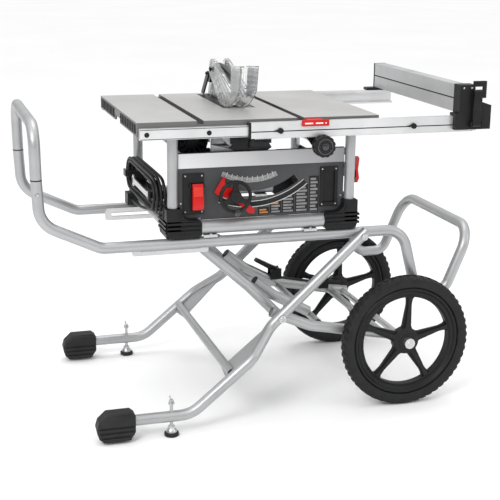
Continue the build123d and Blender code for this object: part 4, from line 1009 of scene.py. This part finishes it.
def fence_details():
    # painted shade: a dark strip set inside the groove along each side face of the fence
    lines = Shape()
    middle = 932
    for x, out in ((BEAM_LOW.x, 1), (BEAM_HIGH.x, -1)):
        near, far = sorted((x + out * 0.2, x + out * 1.6))
        lines.box((near, BEAM_LOW.y + 1, middle - 1.8), (far, BEAM_HIGH.y - 1, middle + 1.8))
    lines.done("fence_groove_shade", "fence", SHADE_AND_DARK_TRIM, "black_plastic")
    caps = Shape()
    caps.box(
        (BEAM_LOW.x - 0.8, BEAM_HIGH.y - 4, BEAM_LOW.z),
        (BEAM_HIGH.x + 0.8, BEAM_HIGH.y + 0.8, BEAM_HIGH.z + 0.6),
    )
    caps.done("fence_end_cap", "fence", BLACK, "black_plastic", 0.5)
    screws = Shape()
    for x in (560, 585):
        screw_head(screws, (x, -330, 966), (0, -1, 0), 3, 1.8)
    screws.done("fence_screws", "fence", STEEL, "steel")
    ribs = Shape()
    low, high = corners("fence_lever")
    for k in range(6):
        z = 876 + 12 * k
        proud = 2.4 if z < 900 else 3.2 - (z - 900) * 0.05
        ribs.box((low.x + 3, low.y - 0.2 + proud, z), (high.x - 3, low.y + 6, z + 4))
    ribs.done("lever_ribs", "fence_lock", BLACK, "black_plastic", 0.6)


rails()
table_details()
fence_details()


# ---- guard ----
GUARD_PIVOT = (111, 987)


def strip_outline(start, end, half):
    """The four corners of a straight strip between two points."""
    run = (end - start).normalized()
    across = Vector((-run.y, run.x)) * half
    return [tuple(start - across), tuple(end - across), tuple(end + across), tuple(start + across)]


def shield(side):
    """A clear ribbed shield: an outer wall with a rim round it, a net of ribs and a round pivot."""
    low, high = corners(f"shield_{side}")
    hand = -1 if side == "left" else 1
    outer = low.x if hand < 0 else high.x
    inner = high.x if hand < 0 else low.x
    edge = [
        (139, 972), (12, TABLE_TOP + 2), (-57, TABLE_TOP + 1.5), (-127, 913), (-172, 940),
        (-190, 958), (-206, 1026), (-116, 1018), (-102, 952), (84, 1012), (111, 1017), (135, 1008),
    ]
    shape = Shape()
    near, far = sorted((outer, outer - hand * 2.2))
    shape.plate(edge, "x", near, far)
    near, far = sorted((outer, inner + hand * 0.5))
    count = len(edge)
    for i in range(count):
        a, b = Vector(edge[i]), Vector(edge[(i + 1) % count])
        shape.plate(strip_outline(a, b, 1.5), "x", near, far)
    shape.done(f"clear_{side}", f"{side}_shield", CLEAR, "clear_plastic", 0.6, replaces=(f"shield_{side}",))
    ribs = Shape()
    near, far = sorted((outer - hand * 1.8, outer - hand * 7))
    # upright and level ribs over the nose
    for k in range(6):
        top = Vector((-200 + 16 * k, 1021 - 1.4 * k))
        bottom = Vector((-184 + 16 * k, 956 - 6 * k))
        rib = [(top.x - 1, top.y), (top.x + 1, top.y), (bottom.x + 1, bottom.y), (bottom.x - 1, bottom.y)]
        ribs.plate(rib, "x", near, far)
    for k in range(5):
        left = Vector((-201 + 4 * k, 1010 - 15 * k))
        right = Vector((-115 + 3 * k, 1004 - 15 * k))
        rib = [(left.x, left.y - 1), (left.x, left.y + 1), (right.x, right.y + 1), (right.x, right.y - 1)]
        ribs.plate(rib, "x", near, far)
    # long ribs down the arm
    for k in range(4):
        start = Vector((118 - 17 * k, 985 + 5 * k))
        end = Vector((-12 - 26 * k, 903 + 10 * k))
        ribs.plate(strip_outline(start, end, 1.1), "x", near, far)
    for k in range(6):
        along = k / 5
        a = Vector((128 - 120 * along, 972 - 74 * along))
        b = a + Vector((-42, 30 - 8 * along))
        ribs.plate(strip_outline(a, b, 0.9), "x", near, far)
    middle = ((near + far) / 2, *GUARD_PIVOT)
    for radius in (10, 18, 25):
        ring = [(radius - 1, -2.6), (radius + 1, -2.6), (radius + 1, 2.6), (radius - 1, 2.6)]
        ribs.lathe(ring, middle, (1, 0, 0), steps=40)
    ribs.done(f"shield_ribs_{side}", f"{side}_shield", CLEAR_RIB_SHADED, "clear_plastic", 0.3)


for side in ("left", "right"):
    shield(side)
guard = Shape()
for x in (BLADE_X - 31, BLADE_X + 31):
    hand = -1 if x < BLADE_X else 1
    dome = [(0.05, 4), (5, 3.4), (7.5, 1.5), (7.5, 0), (0.05, 0)]
    guard.lathe(dome, (x, *GUARD_PIVOT), (hand, 0, 0), steps=24)
guard.done("guard_pivot_caps", "cradle", BLACK_PAINT, "dark_paint")


# ---- frame fittings ----
TUBE_RADIUS = 16          # of the side rails


def frame_fittings():
    welds = Shape()
    rail_y = corners("side_rails")[1].y - TUBE_RADIUS
    for hand in (-1, 1):
        for x in (-145, 255):
            bead = [(13.8, 0), (18, 0.4), (17, 2.4), (13.8, 4.4)]
            welds.lathe(bead, (x, hand * (rail_y - 15.4), 537), (0, -hand, 0), steps=28)
    welds.done("rail_welds", "machine", TUBE, "tube_paint")
    bolts = Shape()
    for hand in (-1, 1):
        for x in (-170, 130):
            screw_head(bolts, (x, hand * (rail_y + 14), 561), (0, hand, 0), 4, 2.2)
        screw_head(bolts, (300, hand * (rail_y + 15.6), 537), (0, hand, 0), 4.5, 2.4)
        screw_head(bolts, (284, hand * 300, 535), (0, hand, 0), 7, 3)
    bolts.done("frame_bolts", "machine", STEEL, "steel")
    legs = Shape()
    for hand in (-1, 1):
        screw_head(legs, (35, hand * 302, 304), (0, hand, 0), 7, 3)
    legs.done("cross_bolts", "foot_leg_pair", STEEL, "steel")
    seams = Shape()
    for hand in (-1, 1):
        seam = [(15.9, -2), (16.4, -1), (16.4, 1), (15.9, 2)]
        seams.lathe(seam, (-653, hand * rail_y, 738.5), (0, 0, 1), steps=36)
    seams.done("handle_seams", "machine", SHADE_AND_DARK_TRIM, "black_plastic")
    caps = Shape()
    for hand in (-1, 1):
        caps.rod((-10.5, hand * 160, 385.4), (-11.6, hand * 160, 386.3), 14.4, 24)
    caps.done("strut_ends", "wheel_leg_pair", BLACK, "black_plastic")


frame_fittings()
